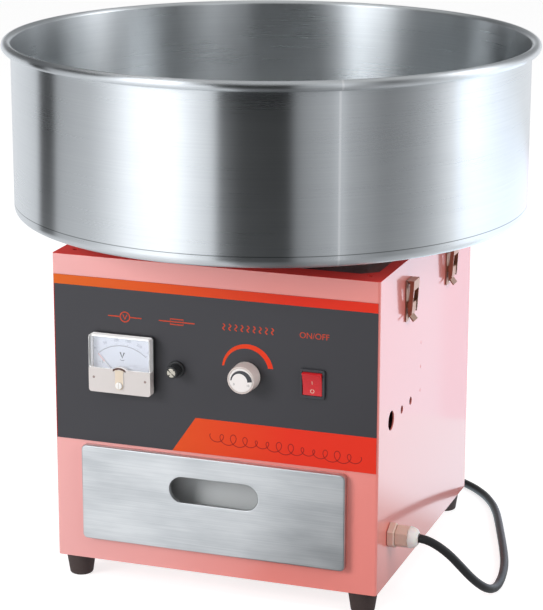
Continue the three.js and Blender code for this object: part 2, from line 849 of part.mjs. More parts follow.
// Bowl: floor with a raised hole for the head, knuckle, wall and rolled rim
function bowl() {
  const top = bowlBottom + bowlRimHeight;
  const beadAt = [bowlRadius + beadRadius - 0.8, top - beadRadius];
  const inner = bowlRadius - bowlSheet;
  const wallBend = bowlRadius - knuckleRadius;
  const floorTop = bowlBottom + bowlSheet;
  return turned([
    [bowlHoleRadius, bowlBottom],
    ...arc(wallBend, bowlBottom + knuckleRadius, knuckleRadius, -90, 0, 3),
    ...arc(...beadAt, beadRadius, -147, 165, 7),
    ...arc(wallBend, bowlBottom + knuckleRadius, inner - wallBend, 0, -90, 3),
    [bowlHoleRadius + bowlSheet, floorTop],
    [bowlHoleRadius + bowlSheet, bowlBottom + bowlHoleLip],
    [bowlHoleRadius, bowlBottom + bowlHoleLip],
  ], 48);
}
piece('bowl', bowl(), 'steel');

// Spinning head: pan on the shaft, heater ring, slotted band and lid with the sugar mouth
const panTop = headFloor + headSheet;
const bandBottom = panTop + fit;
const bandTop = bandBottom + headWallHeight;
const bandOuter = headRadius - 1.5;
const bandInner = bandOuter - bandThickness;
const panRim = bandInner - fit;

piece('head_pan', turned([
  [hubBore, headFloor], [headRadius, headFloor], [headRadius, panTop], [panRim, panTop],
  [panRim, panTop + headCollarHeight], [panRim - bandThickness, panTop + headCollarHeight],
  [panRim - bandThickness, panTop],
  [2 * shaftRadius + 2, panTop], [2 * shaftRadius + 2, headBossTop], [hubBore, headBossTop],
], 32), 'aluminium');
piece('heater_ring', turned([
  [heaterRadius - heaterWidth, bandBottom], [heaterRadius, bandBottom],
  [heaterRadius, bandBottom + 6], [heaterRadius - heaterWidth, bandBottom + 6],
], 24), 'steel');

function meshBand() {
  let band = turned([
    [bandInner, bandBottom], [bandOuter, bandBottom], [bandOuter, bandTop], [bandInner, bandTop],
  ], 32);
  for (let i = 0; i < bandSlots; i += 1) {
    const slot = new THREE.BoxGeometry(4 * bandThickness, 5, headWallHeight * 0.6);
    slot.translate(bandOuter, 0, (bandBottom + bandTop) / 2 + 4);
    slot.rotateZ(((i + 0.5) * 2 * Math.PI) / bandSlots);
    band = band.subtract(solidOf(slot));
  }
  return band;
}
piece('mesh_band', meshBand(), 'steel');

const lidBottom = bandTop + fit;
piece('head_lid', turned([
  [sugarMouthRadius, lidBottom], [headRadius, lidBottom], [headRadius, lidBottom + bandThickness],
  [sugarMouthRadius + bandThickness, lidBottom + bandThickness],
  [sugarMouthRadius + bandThickness, lidBottom + sugarMouthHeight],
  [sugarMouthRadius, lidBottom + sugarMouthHeight],
], 32), 'aluminium');

// Side latches: base plate with ears, lever with a flared tab, and the loop with its claw
const pinRadius = 1;
const leverHalf = 6.6;
const earInner = leverHalf + fit;
const earOuter = earInner + latchSheet;
const armInner = earOuter + fit;
const armOuter = armInner + latchSheet;
const plateBack = fit;
const plateFront = plateBack + latchSheet;
const pinB = [-latchArm, latchPivotRise + 0.3];

function bothSides(outline, inner, outer) {
  return joined(prism('x', outline, inner, outer), prism('x', outline, -outer, -inner));
}

function latchPlateSolid() {
  const ear = [
    [-3.3, plateFront - 0.2], [3.3, plateFront - 0.2], ...arc(0, latchPivotRise, 2.6, 20, 160, 4),
  ];
  return cut(
    box(
      -latchPlate[0] / 2, latchPlate[0] / 2, latchClawLength - latchPlate[1], latchClawLength,
      plateBack, plateFront,
    ).add(prism('x', ear, earInner, earOuter)).add(prism('x', ear, -earOuter, -earInner)),
    rod('x', pinRadius + fit, -armOuter, armOuter, [0, latchPivotRise], 8),
  );
}

function latchLeverSolid() {
  const rise = latchPivotRise;
  const strap = [
    [0, rise - 1.9], [0, rise + 1.9], [-7, rise + 1.7], [-11.3, rise - 0.1], [-16, rise + 3.6],
    [-16.7, rise + 2.7], [-11.5, rise - 1.6], [-7, rise - 1.5],
  ];
  return joined(
    prism('x', strap, -leverHalf, leverHalf),
    rod('x', 1.9, -leverHalf, leverHalf, [0, rise], 8),
    rod('x', pinRadius, -earOuter, earOuter, [0, rise], 8),
    rod('x', pinRadius, -armOuter, armOuter, pinB, 8),
  );
}

function latchLoopSolid() {
  const rise = latchPivotRise;
  const arm = [
    [-9.3, rise - 1.6], [-5, rise - 1.8], [15, rise - 0.2], [15, rise + 3.6], [-5, rise + 2.4],
    [-9.3, rise + 1.9],
  ];
  const claw = [
    [14, rise - 0.2], [latchClawLength - 1.5, rise - 0.2], [latchClawLength - 1.5, rise - 2.6],
    [latchClawLength, rise - 2.6], [latchClawLength, rise + 4], [14, rise + 3.6],
  ];
  return cut(
    joined(bothSides(arm, armInner, armOuter), prism('x', claw, -armOuter, armOuter)),
    rod('x', pinRadius + fit, -armOuter - 1, armOuter + 1, pinB, 8),
  );
}

const latchPlaces = {
  right_front: [1, -latchSpacing],
  right_rear: [1, latchSpacing],
  left_front: [-1, -latchSpacing],
  left_rear: [-1, latchSpacing],
};
for (const [place, [side, y]] of Object.entries(latchPlaces)) {
  const latch = onFace([side, 0, 0], [side * halfWidth, y, cabinetTop - latchDrop]);
  piece(`latch_plate_${place}`, latchPlateSolid(), 'zincPlate', latch);
  piece(`latch_lever_${place}`, latchLeverSolid(), 'zincPlate', latch);
  piece(`latch_loop_${place}`, latchLoopSolid(), 'zincPlate', latch);
}

// Cord gland: body through the side, domed nut outside and locknut inside
const gland = onFace([1, 0, 0], [halfWidth, ...glandAt]);
const glandBore = cordRadius + fit;
const neckRadius = glandShankRadius - 0.5;
const flangeFace = fit + glandFlangeLength;
const nutBack = flangeFace + fit;
const neckEnd = nutBack + 6.7;
const nutRadius = glandFlats / 2 - 0.2;
const nutShoulder = glandLength - glandDomeLength;

piece('gland_body', cut(
  joined(
    rod('z', glandShankRadius, -sheet - 6, fit + 1),
    prism('z', hexagon(glandFlats), fit, flangeFace),
    rod('z', neckRadius, flangeFace - 1, neckEnd),
  ),
  rod('z', glandBore, -sheet - 7, neckEnd + 1),
), 'ivoryPlastic', gland);
piece('gland_nut', turned([
  [neckRadius + fit, nutBack], [nutRadius, nutBack], [nutRadius, nutShoulder],
  [nutRadius * 0.88, nutShoulder + glandDomeLength * 0.56], [nutRadius * 0.65, glandLength - fit],
  [glandBore, glandLength], [glandBore, neckEnd + fit], [neckRadius + fit, neckEnd + fit],
], 24), 'ivoryPlastic', gland);
piece('gland_locknut', cut(
  prism('z', hexagon(glandFlats), -sheet - fit - 3.5, -sheet - fit),
  rod('z', glandShankRadius + fit, -sheet - 5, 0),
), 'ivoryPlastic', gland);

// Mains cord: out of the gland, down to the floor and round behind the cabinet to its coil
const cordExit = [halfWidth + glandLength + fit, ...glandAt];
const cordRoute = [
  cordExit, [199, -121, 67.9], [207, -120.8, 64.9], [215, -120, 60], [222.5, -118, 53.4],
  [229, -115, 45.6], [235, -110.5, 37], [240.5, -104.5, 28.4], [245.5, -96.5, 20.4],
  [249.5, -86.5, 13.4], [252, -74, 8.2], [253, -60, 5.3], [252.5, -44, 4.6], [250, -22, 4.5],
  [245, 4, 4.5], [238, 30, 4.5], [229.5, 58, 4.5], [220, 88, 4.5], [211, 116, 4.5],
  [201.5, 143, 4.5], [189.5, 169, 4.5], [172, 195, 4.5], [149, 217, 4.5], [122, 234, 4.5],
  [92, 246, 4.5], [60.6, 252, 4.5],
];
const tailRoute = [
  [-0.2, 252, 12.8], [-14, 251.2, 12], [-26, 249.6, 11.6], [-38, 247.4, 12.2], [-50, 244.8, 13.2],
  [-62, 242, 13.4],
];

function tube(route, steps) {
  const curve = new THREE.CatmullRomCurve3(route.map((point) => new THREE.Vector3(...point)));
  const section = new THREE.Shape(arc(0, 0, cordRadius, 0, 315, 7).map(
    ([u, v]) => new THREE.Vector2(u, v),
  ));
  return solidOf(new THREE.ExtrudeGeometry(section, {
    steps, extrudePath: curve, bevelEnabled: false,
  }));
}
piece('mains_cord', tube(cordRoute, 44), 'cordJacket');
piece('cord_tail', tube(tailRoute, 6), 'cordJacket');
piece('cord_coil', turned([
  [coilInnerRadius, 0.2], [coilOuterRadius, 0.2], [coilOuterRadius, coilHeight],
  [coilInnerRadius, coilHeight],
]), 'cordJacket').position.set(...coilCentre, 0);

// Plug, lying along the way that the cord's tail ends
function plug() {
  const neck = cordRadius + 1;
  const bodyFrom = plugTailLength;
  const bodyTo = bodyFrom + plugBodyLength;
  const pins = [-plugPinSpacing / 2, plugPinSpacing / 2].map((x) => (
    rod('z', plugPinRadius, bodyTo - 1, bodyTo + plugPinLength, [x, 0], 8)
  ));
  return joined(turned([
    [0, 0], [neck, 0], [neck + 2, bodyFrom - 4], [plugBodyRadius - 2, bodyFrom],
    [plugBodyRadius, bodyFrom + 5], [plugBodyRadius, bodyTo - 2], [plugBodyRadius - 2, bodyTo],
    [0, bodyTo],
  ], 24), ...pins);
}
const tailEnd = tailRoute.at(-1);
const plugDirection = new THREE.Vector3(-12, -2.8, 0).normalize();
const plugPlace = onFace(plugDirection.toArray(), tailEnd);
piece('mains_plug', plug(), 'cordJacket', plugPlace).position.set(0, 0, fit);

export default machine;
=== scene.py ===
# Looks of an electric cotton candy machine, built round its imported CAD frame.
# Sizes in the sections are millimetres and are turned to metres as each piece is made.
import json
import math

import bmesh
import bpy
from mathutils import Matrix, Vector


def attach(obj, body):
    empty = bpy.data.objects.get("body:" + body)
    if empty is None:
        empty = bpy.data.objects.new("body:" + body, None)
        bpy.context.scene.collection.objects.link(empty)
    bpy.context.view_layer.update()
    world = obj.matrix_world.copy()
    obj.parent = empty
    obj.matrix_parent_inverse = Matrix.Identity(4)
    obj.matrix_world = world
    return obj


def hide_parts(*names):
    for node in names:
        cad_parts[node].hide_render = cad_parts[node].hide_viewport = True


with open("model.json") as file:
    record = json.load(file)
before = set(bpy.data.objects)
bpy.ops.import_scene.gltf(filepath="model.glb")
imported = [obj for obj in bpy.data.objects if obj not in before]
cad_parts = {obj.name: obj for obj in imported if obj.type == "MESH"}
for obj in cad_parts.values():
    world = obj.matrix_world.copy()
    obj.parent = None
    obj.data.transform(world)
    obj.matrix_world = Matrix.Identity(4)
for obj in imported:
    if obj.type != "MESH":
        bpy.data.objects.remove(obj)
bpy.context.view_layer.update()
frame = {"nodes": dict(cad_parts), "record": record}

# Camera
# It stands where the photograph was taken from: right of the front and a little above the rim,
# with a long lens, and the whole machine just fills the frame.
camera_place = Vector((0.7347, -2.0814, 0.8518))
camera_yaw = math.radians(19.42)
camera_pitch = math.radians(15.30)
camera_roll = math.radians(0.136)

camera_data = bpy.data.cameras.new("camera")
camera_data.sensor_width = 36
camera_data.lens = 135.48
camera = bpy.data.objects.new("camera", camera_data)
bpy.context.scene.collection.objects.link(camera)
bpy.context.scene.camera = camera
camera.matrix_world = (
    Matrix.Translation(camera_place) @ Matrix.Rotation(camera_yaw, 4, "Z")
    @ Matrix.Rotation(math.pi / 2 - camera_pitch, 4, "X") @ Matrix.Rotation(camera_roll, 4, "Z")
)

# Mains plug
# A round moulded plug at the end of the flex, of black PVC with a ribbed bend guard and two
# nickelled brass pins, half sleeved. It lies on the table behind the cabinet, beside the coil.
MM = 0.001
record = frame["record"]
body_of = {
    name: body for body, members in record["behaviour"]["bodies"].items() for name in members
}


def hex_colour(code):
    """An sRGB hex code as a linear colour"""
    parts = [int(code[i:i + 2], 16) / 255 for i in (0, 2, 4)]
    return (*[
        part / 12.92 if part <= 0.04045 else ((part + 0.055) / 1.055) ** 2.4 for part in parts
    ], 1)


def wire(tree, source, socket):
    """Gives a socket a plain value, another node's output, or a node's first output"""
    if isinstance(source, bpy.types.Node):
        source = source.outputs[0]
    if isinstance(source, bpy.types.NodeSocket):
        tree.links.new(source, socket)
    else:
        socket.default_value = source


def add_node(tree, kind, inputs=None, **settings):
    """Adds a shader node with its inputs wired and its settings made"""
    made = tree.nodes.new("ShaderNode" + kind)
    for key, value in settings.items():
        setattr(made, key, value)
    for key, value in (inputs or {}).items():
        wire(tree, value, made.inputs[key])
    return made


def feed(material, socket, source):
    """Wires a source to a socket of the material's shader"""
    tree = material.node_tree
    wire(tree, source, tree.nodes["Principled BSDF"].inputs[socket])


def finish(name, colour, roughness, **sockets):
    """A material with its colour, roughness and other plain values on the shader's sockets"""
    made = bpy.data.materials.new(name)
    made.use_nodes = True
    feed(made, "Base Color", hex_colour(colour))
    feed(made, "Roughness", roughness)
    for socket, value in sockets.items():
        feed(made, socket.replace("_", " "), value)
    return made


def grained(name, colour, roughness, grain, rise, spread=0.0, strength=0.6, stretch=(1, 1, 1),
            detail=2.0, **sockets):
    """A finish with a noise relief; grain and rise are millimetres, spread varies the roughness"""
    made = finish(name, colour, roughness, **sockets)
    tree = made.node_tree
    noise = add_node(tree, "TexNoise", {
        "Vector": add_node(tree, "Mapping", {
            "Vector": add_node(tree, "TexCoord").outputs["Object"], "Scale": stretch,
        }),
        "Scale": 1 / (grain * MM), "Detail": detail,
    })
    feed(made, "Normal", add_node(tree, "Bump", {
        "Height": noise, "Distance": rise * MM, "Strength": strength,
    }))
    if spread:
        feed(made, "Roughness", add_node(tree, "MapRange", {
            "Value": noise, "From Min": 0.3, "From Max": 0.7,
            "To Min": roughness - spread, "To Max": roughness + spread,
        }))
    return made


def skinned(loops, closed=False, ends=True):
    """Rings of points joined in order; where they don't close, flat faces end them"""
    shape = bmesh.new()
    rings = [[shape.verts.new(point) for point in loop] for loop in loops]
    for ring, following in zip(rings, rings[1:] + rings[:1] if closed else rings[1:]):
        for i, vertex in enumerate(ring):
            j = (i + 1) % len(ring)
            shape.faces.new((vertex, ring[j], following[j], following[i]))
    if ends and not closed:
        shape.faces.new(rings[0])
        shape.faces.new(rings[-1])
    bmesh.ops.remove_doubles(shape, verts=shape.verts, dist=1e-4)
    return shape


def filleted(corners, steps=4):
    """A closed outline of (x, y, radius) corners with each corner turned into an arc"""
    points = []
    for i, (x, y, radius) in enumerate(corners):
        corner = Vector((x, y))
        if radius == 0:
            points.append(corner)
            continue
        before = (Vector(corners[i - 1][:2]) - corner).normalized()
        after = (Vector(corners[(i + 1) % len(corners)][:2]) - corner).normalized()
        half = before.angle(after) / 2
        centre = corner + (before + after).normalized() * radius / math.sin(half)
        start = corner + before * radius / math.tan(half) - centre
        end = corner + after * radius / math.tan(half) - centre
        for step in range(steps + 1):
            share = step / steps
            points.append(centre + (start * (1 - share) + end * share).normalized() * radius)
    return points


def level_ring(radius, height, sides):
    """Points of a level circle about +Z"""
    return [
        (radius * math.cos(math.tau * i / sides), radius * math.sin(math.tau * i / sides), height)
        for i in range(sides)
    ]


def turned(corners, sides=72, steps=4):
    """A closed outline of (radius, height, fillet) corners turned about +Z"""
    return skinned([level_ring(r, h, sides) for r, h in filleted(corners, steps=steps)],
                   closed=True)


def on_face(outward, position):
    """Local +Z points out of a face, +Y up it and +X across it"""
    out = Vector(outward).normalized()
    up = Vector((0, 0, 1))
    axes = Matrix((up.cross(out), up, out)).transposed().to_4x4()
    return Matrix.Translation(position) @ axes


def piece(name, parts, node=None, place=Matrix(), crease=35):
    """One object from (shape, material) parts drawn in millimetres. It replaces its node and rides
    on the node's body, or else on the base; a list of materials goes by the face indices"""
    mesh = bpy.data.meshes.new(name)
    whole = bmesh.new()
    for shape, material in parts:
        finishes = material if isinstance(material, list) else [material]
        for finish_used in finishes:
            if finish_used.name not in mesh.materials:
                mesh.materials.append(finish_used)
        places = [mesh.materials.find(finish_used.name) for finish_used in finishes]
        shape.transform(place)
        bmesh.ops.recalc_face_normals(shape, faces=shape.faces)
        for face in shape.faces:
            face.material_index = places[face.material_index]
        part = bpy.data.meshes.new("part")
        shape.to_mesh(part)
        whole.from_mesh(part)
        bpy.data.meshes.remove(part)
        shape.free()
    whole.transform(Matrix.Scale(MM, 4))
    whole.to_mesh(mesh)
    whole.free()
    mesh.shade_smooth()
    for face in mesh.polygons:
        face.use_smooth = len(face.vertices) < 5
    mesh.set_sharp_from_angle(angle=math.radians(crease))
    made = bpy.data.objects.new(name, mesh)
    bpy.context.scene.collection.objects.link(made)
    made.modifiers.new("face_weighted_normals", "WEIGHTED_NORMAL").keep_sharp = True
    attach(made, body_of[node] if node else "base")
    if node:
        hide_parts(node)
    return made


plug_start = Vector((-62, 242, 13.4))
plug_way = Vector((-12, -2.8, 0)).normalized()
flex_gap = 0.3
plug_place = on_face(plug_way, plug_start + plug_way * flex_gap)
plug_tail, plug_body, plug_radius = 24, 34, 13
pin_length, pin_spacing, pin_radius = 19, 19, 2.4

# Moulded PVC is soft and semi matt, with a faint spark-eroded grain from its mould
moulded_pvc = grained("moulded_pvc", "1b1b1c", 0.5, 0.5, 0.03, 0.06)
# Nickel plated brass is a slightly warm bright metal
nickelled_brass = finish("nickelled_brass", "c9c2b4", 0.22, Metallic=1)

guard = [(0, 0, 0), (5.2, 0, 0.6)]
for rib in range(5):
    z = 2 + rib * 4
    radius = 5.3 + rib * 0.38
    guard += [(radius, z, 0.3), (radius - 0.9, z + 0.8, 0.3), (radius - 0.9, z + 2.2, 0.3),
              (radius + 0.1, z + 3, 0.3)]
plug_end = plug_tail + plug_body
plug_shape = turned(guard + [
    (8, plug_tail - 1, 1), (plug_radius - 3, plug_tail + 1, 2),
    (plug_radius, plug_tail + 6, 3), (plug_radius, plug_end - 10, 1),
    (plug_radius - 0.8, plug_end - 8, 1), (plug_radius, plug_end - 6, 1),
    (plug_radius, plug_end, 1.4), (0, plug_end, 0),
], sides=48, steps=3)
plug_parts = [(plug_shape, moulded_pvc)]
for side in (-pin_spacing / 2, pin_spacing / 2):
    for low, high, radius, fillet, material in (
        (-1, 10, pin_radius - 0.1, 0.3, moulded_pvc), (9, pin_length, pin_radius, 1.4, nickelled_brass),
    ):
        pin = turned([
            (0, plug_end + low, 0), (radius, plug_end + low, 0), (radius, plug_end + high, fillet),
            (0, plug_end + high, 0),
        ], sides=24)
        pin.transform(Matrix.Translation((side, 0, 0)))
        plug_parts.append((pin, material))
plug = piece("mains_plug_moulding", plug_parts, "mains_plug", place=plug_place)

# Mains flex
# A round black PVC flex, 8.4 mm thick. It leaves the gland, drops to the table, runs round behind
# the cabinet and ends in a coil of four turns in two layers, tied with a strap of black tape.
flex_diameter = 0.0084
flex_route = [
    (0.1918, -0.1210, 0.0690), (0.1990, -0.1210, 0.0679), (0.2070, -0.1208, 0.0649),
    (0.2150, -0.1200, 0.0600), (0.2225, -0.1180, 0.0534), (0.2290, -0.1150, 0.0456),
    (0.2350, -0.1105, 0.0370), (0.2405, -0.1045, 0.0284), (0.2455, -0.0965, 0.0204),
    (0.2495, -0.0865, 0.0134), (0.2520, -0.0740, 0.0082), (0.2530, -0.0600, 0.0053),
    (0.2525, -0.0440, 0.0046), (0.2500, -0.0220, 0.0045), (0.2450, 0.0040, 0.0045),
    (0.2380, 0.0300, 0.0045), (0.2295, 0.0580, 0.0045), (0.2200, 0.0880, 0.0045),
    (0.2110, 0.1160, 0.0045), (0.2015, 0.1430, 0.0045), (0.1895, 0.1690, 0.0045),
    (0.1720, 0.1950, 0.0045), (0.1490, 0.2170, 0.0045), (0.1220, 0.2340, 0.0045),
    (0.0920, 0.2460, 0.0045), (0.0606, 0.2520, 0.0045),
]
coil_centre = (0.030, 0.200)
coil_radius, coil_pitch, coil_turns = 0.052, 0.0086, 4
layer_heights = (0.0045, 0.0130)
steps_a_turn = 16
for step in range(coil_turns * steps_a_turn + 1):
    turn = step / steps_a_turn
    inward = coil_turns / 2 - math.hypot(turn - coil_turns / 2, 0.05)
    radius = coil_radius - coil_pitch * inward
    climb = min(max((turn - coil_turns / 2) * 2 + 0.5, 0), 1)
    climb = climb * climb * (3 - 2 * climb)
    angle = math.radians(90) + math.tau * turn
    flex_route.append((
        coil_centre[0] + radius * math.cos(angle), coil_centre[1] + radius * math.sin(angle),
        layer_heights[0] + (layer_heights[1] - layer_heights[0]) * climb,
    ))
flex_route += [
    (-0.0002, 0.2520, 0.0128), (-0.0140, 0.2512, 0.0120), (-0.0260, 0.2496, 0.0116),
    (-0.0380, 0.2474, 0.0122), (-0.0500, 0.2448, 0.0132), (-0.0620, 0.2420, 0.0134),
]
flex_curve = bpy.data.curves.new("mains_flex", "CURVE")
flex_curve.dimensions = "3D"
flex_curve.bevel_depth = flex_diameter / 2
flex_curve.bevel_resolution = 5
flex_curve.resolution_u = 5
flex_curve.use_fill_caps = True
flex_line = flex_curve.splines.new("BEZIER")
flex_line.bezier_points.add(len(flex_route) - 1)
for point, at in zip(flex_line.bezier_points, flex_route):
    point.co = at
    point.handle_left_type = point.handle_right_type = "AUTO"
# Extruded PVC sheath: smoother than the moulded plug, with a soft sheen along its length
flex_curve.materials.append(grained("extruded_pvc", "1c1c1d", 0.42, 1.6, 0.02, 0.08))
flex = bpy.data.objects.new("mains_flex", flex_curve)
bpy.context.scene.collection.objects.link(flex)
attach(flex, "base")
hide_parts("mains_cord", "cord_coil", "cord_tail")

# The strap goes once round the coil's side away from the cabinet's middle
strap_width = 10
strap_loops = []
for across in (-strap_width / 2, strap_width / 2):
    for inner, outer, low, high in ((30.2, 57.2, 0.3, 17.6), (29.2, 58.2, 0.05, 18.4)):
        strap_loops.append([
            Vector((radius, across, height))
            for radius, height in filleted([
                (inner, low, 0.2), (outer, low, 0.2), (outer, high, 4), (inner, high, 4),
            ])
        ])
strap_place = Matrix.Translation((30, 200, 0)) @ Matrix.Rotation(math.radians(-20), 4, "Z")
# Woven nylon tape, matt and a little furry
woven_tape = grained("woven_nylon_tape", "202024", 0.85, 0.8, 0.1, Sheen_Weight=0.3)
strap = piece("coil_strap", [
    (skinned([strap_loops[i] for i in (0, 1, 3, 2)], closed=True), woven_tape),
], place=strap_place)

# Cord gland
# A moulded nylon gland low on the right side: a hexagonal body against the sheet, a ribbed
# dome nut that grips the flex, and a locknut inside the cabinet.
half_cabinet = 162.5
gland_place = on_face((1, 0, 0), (half_cabinet, -121, 69))
gland_flats, nut_flats = 22, 19.6
# Nylon 6, natural white and slightly translucent; the body and the nut have yellowed
white_nylon, tinted_nylon = [
    grained(name, colour, roughness, 0.8, 0.02, 0.05, Subsurface_Weight=0.15,
            Subsurface_Scale=0.002)
    for name, colour, roughness in (("white_nylon", "f1ece8", 0.38), ("tinted_nylon", "dfc3b4", 0.4))
]


def hexagonal(*loops):
    """A shape through hexagonal loops of (flats, height, corner), one flat towards the front"""
    outlines = []
    for flats, out, corner in loops:
        reach = flats / math.sqrt(3)
        angles = [math.tau * (i + 0.5) / 6 for i in range(6)]
        corners = [(reach * math.cos(angle), reach * math.sin(angle), corner) for angle in angles]
        outlines.append([Vector((x, y, out)) for x, y in filleted(corners)])
    return skinned(outlines)


hex_shape = hexagonal(
    (gland_flats - 1.4, 0.3, 1.2), (gland_flats, 0.9, 1.2), (gland_flats, 6.3, 1.2),
    (gland_flats - 1.6, 7.3, 2.4), (17, 7.3, 2.4), (16, 8.4, 2.4),
)
shank_shape = turned([
    (4.5, -7.5, 0.2), (8, -7.5, 0.4), (8, 1, 0), (4.5, 1, 0),
], sides=48)
piece("gland_hexagon", [(hex_shape, tinted_nylon), (shank_shape, tinted_nylon)], "gland_body",
      place=gland_place)
dome = [(10.6, 20.4), (10.3, 22.6), (9.6, 24.8), (8.4, 26.8), (6.6, 28.3), (4.9, 29), (4.4, 28.2)]
nut_shape = hexagonal(
    (nut_flats - 1.2, 7.6, 1.8), (nut_flats, 8.4, 1.8), (nut_flats, 19.2, 1.8),
    (nut_flats - 1.4, 20.2, 4),
)
dome_shape = turned(
    [(7, 18, 0), (9.6, 18, 0), (9.6, 20, 0.2)] + [(r, z, 0) for r, z in dome] + [(4.4, 18, 0)],
)
piece("gland_dome_nut", [(nut_shape, tinted_nylon), (dome_shape, white_nylon)], "gland_nut",
      place=gland_place)
locknut_shape = hexagonal(
    (gland_flats - 1, -1.8, 1.2), (gland_flats, -2.4, 1.2), (gland_flats, -4.6, 1.2),
    (gland_flats - 1, -5.3, 1.2),
)
piece("gland_inner_nut", [(locknut_shape, white_nylon)], "gland_locknut", place=gland_place)

# Cabinet
# Folded and spot-welded steel sheet, 1.5 mm, in a glossy pink stoved enamel. Return flanges
# frame the open top, the drawer mouth and the back; three spot welds dimple the right side.


def faded(material, start, end, first, second):
    """Turns the colour from one to another along X, between two places in metres"""
    tree = material.node_tree
    axes = add_node(tree, "SeparateXYZ", {
        "Vector": add_node(tree, "TexCoord").outputs["Object"],
    })
    share = add_node(tree, "MapRange", {
        "Value": axes.outputs["X"], "From Min": start, "From Max": end,
    })
    feed(material, "Base Color", add_node(tree, "MixRGB", {
        "Fac": share, "Color1": hex_colour(first), "Color2": hex_colour(second),
    }))
    return material


def from_cad(node, round_over=0.35, segments=2):
    """A CAD node's mesh in millimetres, with flat faces whole again and sharp edges rounded"""
    shape = bmesh.new()
    shape.from_mesh(frame["nodes"][node].data)
    shape.transform(Matrix.Scale(1 / MM, 4))
    bmesh.ops.remove_doubles(shape, verts=shape.verts, dist=1e-3)
    bmesh.ops.dissolve_limit(
        shape, angle_limit=math.radians(1), verts=shape.verts, edges=shape.edges,
    )
    sharp = [
        edge for edge in shape.edges
        if edge.is_manifold and edge.calc_face_angle(0) > math.radians(38)
    ]
    if round_over:
        bmesh.ops.bevel(
            shape, geom=sharp, offset=round_over, offset_type="OFFSET", segments=segments,
            profile=0.5, affect="EDGES", clamp_overlap=True,
        )
    return shape


# Stoved polyester enamel over steel: salmon pink under a hard clear gloss, with the slight
# orange peel of a sprayed coat, about 4 mm from crest to crest. Its colour is painted paler
# towards the left, a painted highlight for the stronger light on that side
pink_enamel = faded(grained(
    "pink_enamel", "f48b82", 0.4, 4, 0.02, strength=0.25, detail=1, Coat_Weight=1.0,
    Coat_Roughness=0.09, Coat_IOR=1.6,
), -0.16, 0.06, "f1a9a6", "f48b82")
# The top flanges and the inside are a matt deep red: painted shade, the pink enamel as it
# looks in the shadow under the bowl and inside the box
red_primer = grained("red_primer", "f4453f", 0.75, 1.5, 0.03, Specular_IOR_Level=0.3)
cabinet_shape = from_cad("cabinet_shell")
cabinet_top, sheet_inside = 325.75, 161.4
for face in cabinet_shape.faces:
    middle = face.calc_center_median()
    if middle.z > cabinet_top or max(abs(middle.x), abs(middle.y)) < sheet_inside:
        face.material_index = 1
cabinet_parts = [(cabinet_shape, [pink_enamel, red_primer])]
weld_row = -22.6
for height in (231.5, 207.2, 183.2):
    dimple = turned([(0, -0.3, 0), (2.2, -0.3, 0), (1.3, 0.28, 0.3), (0, 0.34, 0)], sides=24)
    dimple.transform(on_face((1, 0, 0), (half_cabinet, weld_row, height)))
    cabinet_parts.append((dimple, pink_enamel))
piece("cabinet_sheet", cabinet_parts, "cabinet_shell")

# Back and bottom
# Pressed sheets in the same enamel, with rows of vent slots. The back is held by six pan head
# screws of zinc plated steel and can be taken off to reach the motor.


def cad_piece(name, node, material, round_over=0.3, segments=2, crease=35):
    """A piece in the shape of its node"""
    piece(name, [(from_cad(node, round_over, segments), material)], node, crease=crease)


cad_piece("rear_sheet", "rear_panel", pink_enamel)
cad_piece("base_sheet", "base_plate", pink_enamel)

# Bright zinc plate on steel: pale and faintly blue, with a fine uneven sheen
zinc_screw = grained("zinc_plated_screw", "c4c6c8", 0.3, 0.6, 0.01, 0.06, Metallic=1)
# The dark cross on each screw head is painted shade for its driver recess
recess_dark = finish("driver_recess", "2a2624", 0.8)
screw_radius, screw_height = 3.2, 1.9


def screws(name, places):
    """Pan head screws, each with a dark cross just proud of its crown: painted shade for the driver
    recess
    """
    parts = []
    for place in places:
        head = turned([
            (0, 0, 0), (screw_radius, 0, 0.2), (screw_radius, screw_height, screw_radius * 0.35),
            (0, screw_height, 0),
        ], sides=32)
        recess = bmesh.new()
        for turn in (0, 90):
            bmesh.ops.create_cube(recess, size=1, matrix=(
                Matrix.Translation((0, 0, screw_height))
                @ Matrix.Rotation(math.radians(turn), 4, "Z")
                @ Matrix.Diagonal((screw_radius * 1.1, screw_radius * 0.24, 0.08, 1))
            ))
        head.transform(place)
        recess.transform(place)
        parts += [(head, zinc_screw), (recess, recess_dark)]
    piece(name, parts)


rear_face = 164.3
screws("rear_screws", [
    on_face((0, 1, 0), (x, rear_face, z)) for x in (-148, 148) for z in (48, 174, 300)
])

# Deck under the bowl
# A pressed steel tray whose lip is screwed up under the cabinet's top flange. It is a dark
# red-brown satin: painted shade for the deep shadow under the bowl, reddened as a painted
# reflection of the pink enamel
stoved_brown = grained("dark_stoved_paint", "7c4a42", 0.5, 3, 0.03, 0.08)
cad_piece("deck_tray", "top_deck", stoved_brown, 0.4)
deck_face = 311.5
screws("deck_screws", [
    Matrix.Translation((x, y, deck_face)) for y in (-108, 108) for x in (66, -66)
])

# Feet
# Tapered black rubber feet, 22 mm high, each with a steel washer and screw up its middle.
# Moulded rubber is matt. Its black is painted lighter and browner: a painted reflection of the
# pink light that the cabinet throws on it
foot_rubber = grained("moulded_rubber", "443836", 0.75, 1.2, 0.06, 0.08)
foot_x, foot_y = 145, 147
for name, x, y in (
    ("front_left", -foot_x, -foot_y), ("front_right", foot_x, -foot_y),
    ("rear_left", -foot_x, foot_y), ("rear_right", foot_x, foot_y),
):
    foot_shape = turned([
        (0, 5, 0), (5, 5, 0.4), (6.5, 0, 0.4), (11.2, 0, 2.2), (14.5, 21.7, 0.8), (0, 21.7, 0),
    ], sides=56)
    washer = turned([(0, 5.02, 0), (4.6, 5.02, 0), (4.6, 4.2, 0.2), (0, 3.6, 0)], sides=24)
    piece(f"rubber_foot_{name}", [(foot_shape, foot_rubber), (washer, zinc_screw)],
          f"foot_{name}", place=Matrix.Translation((x, y, 0)))

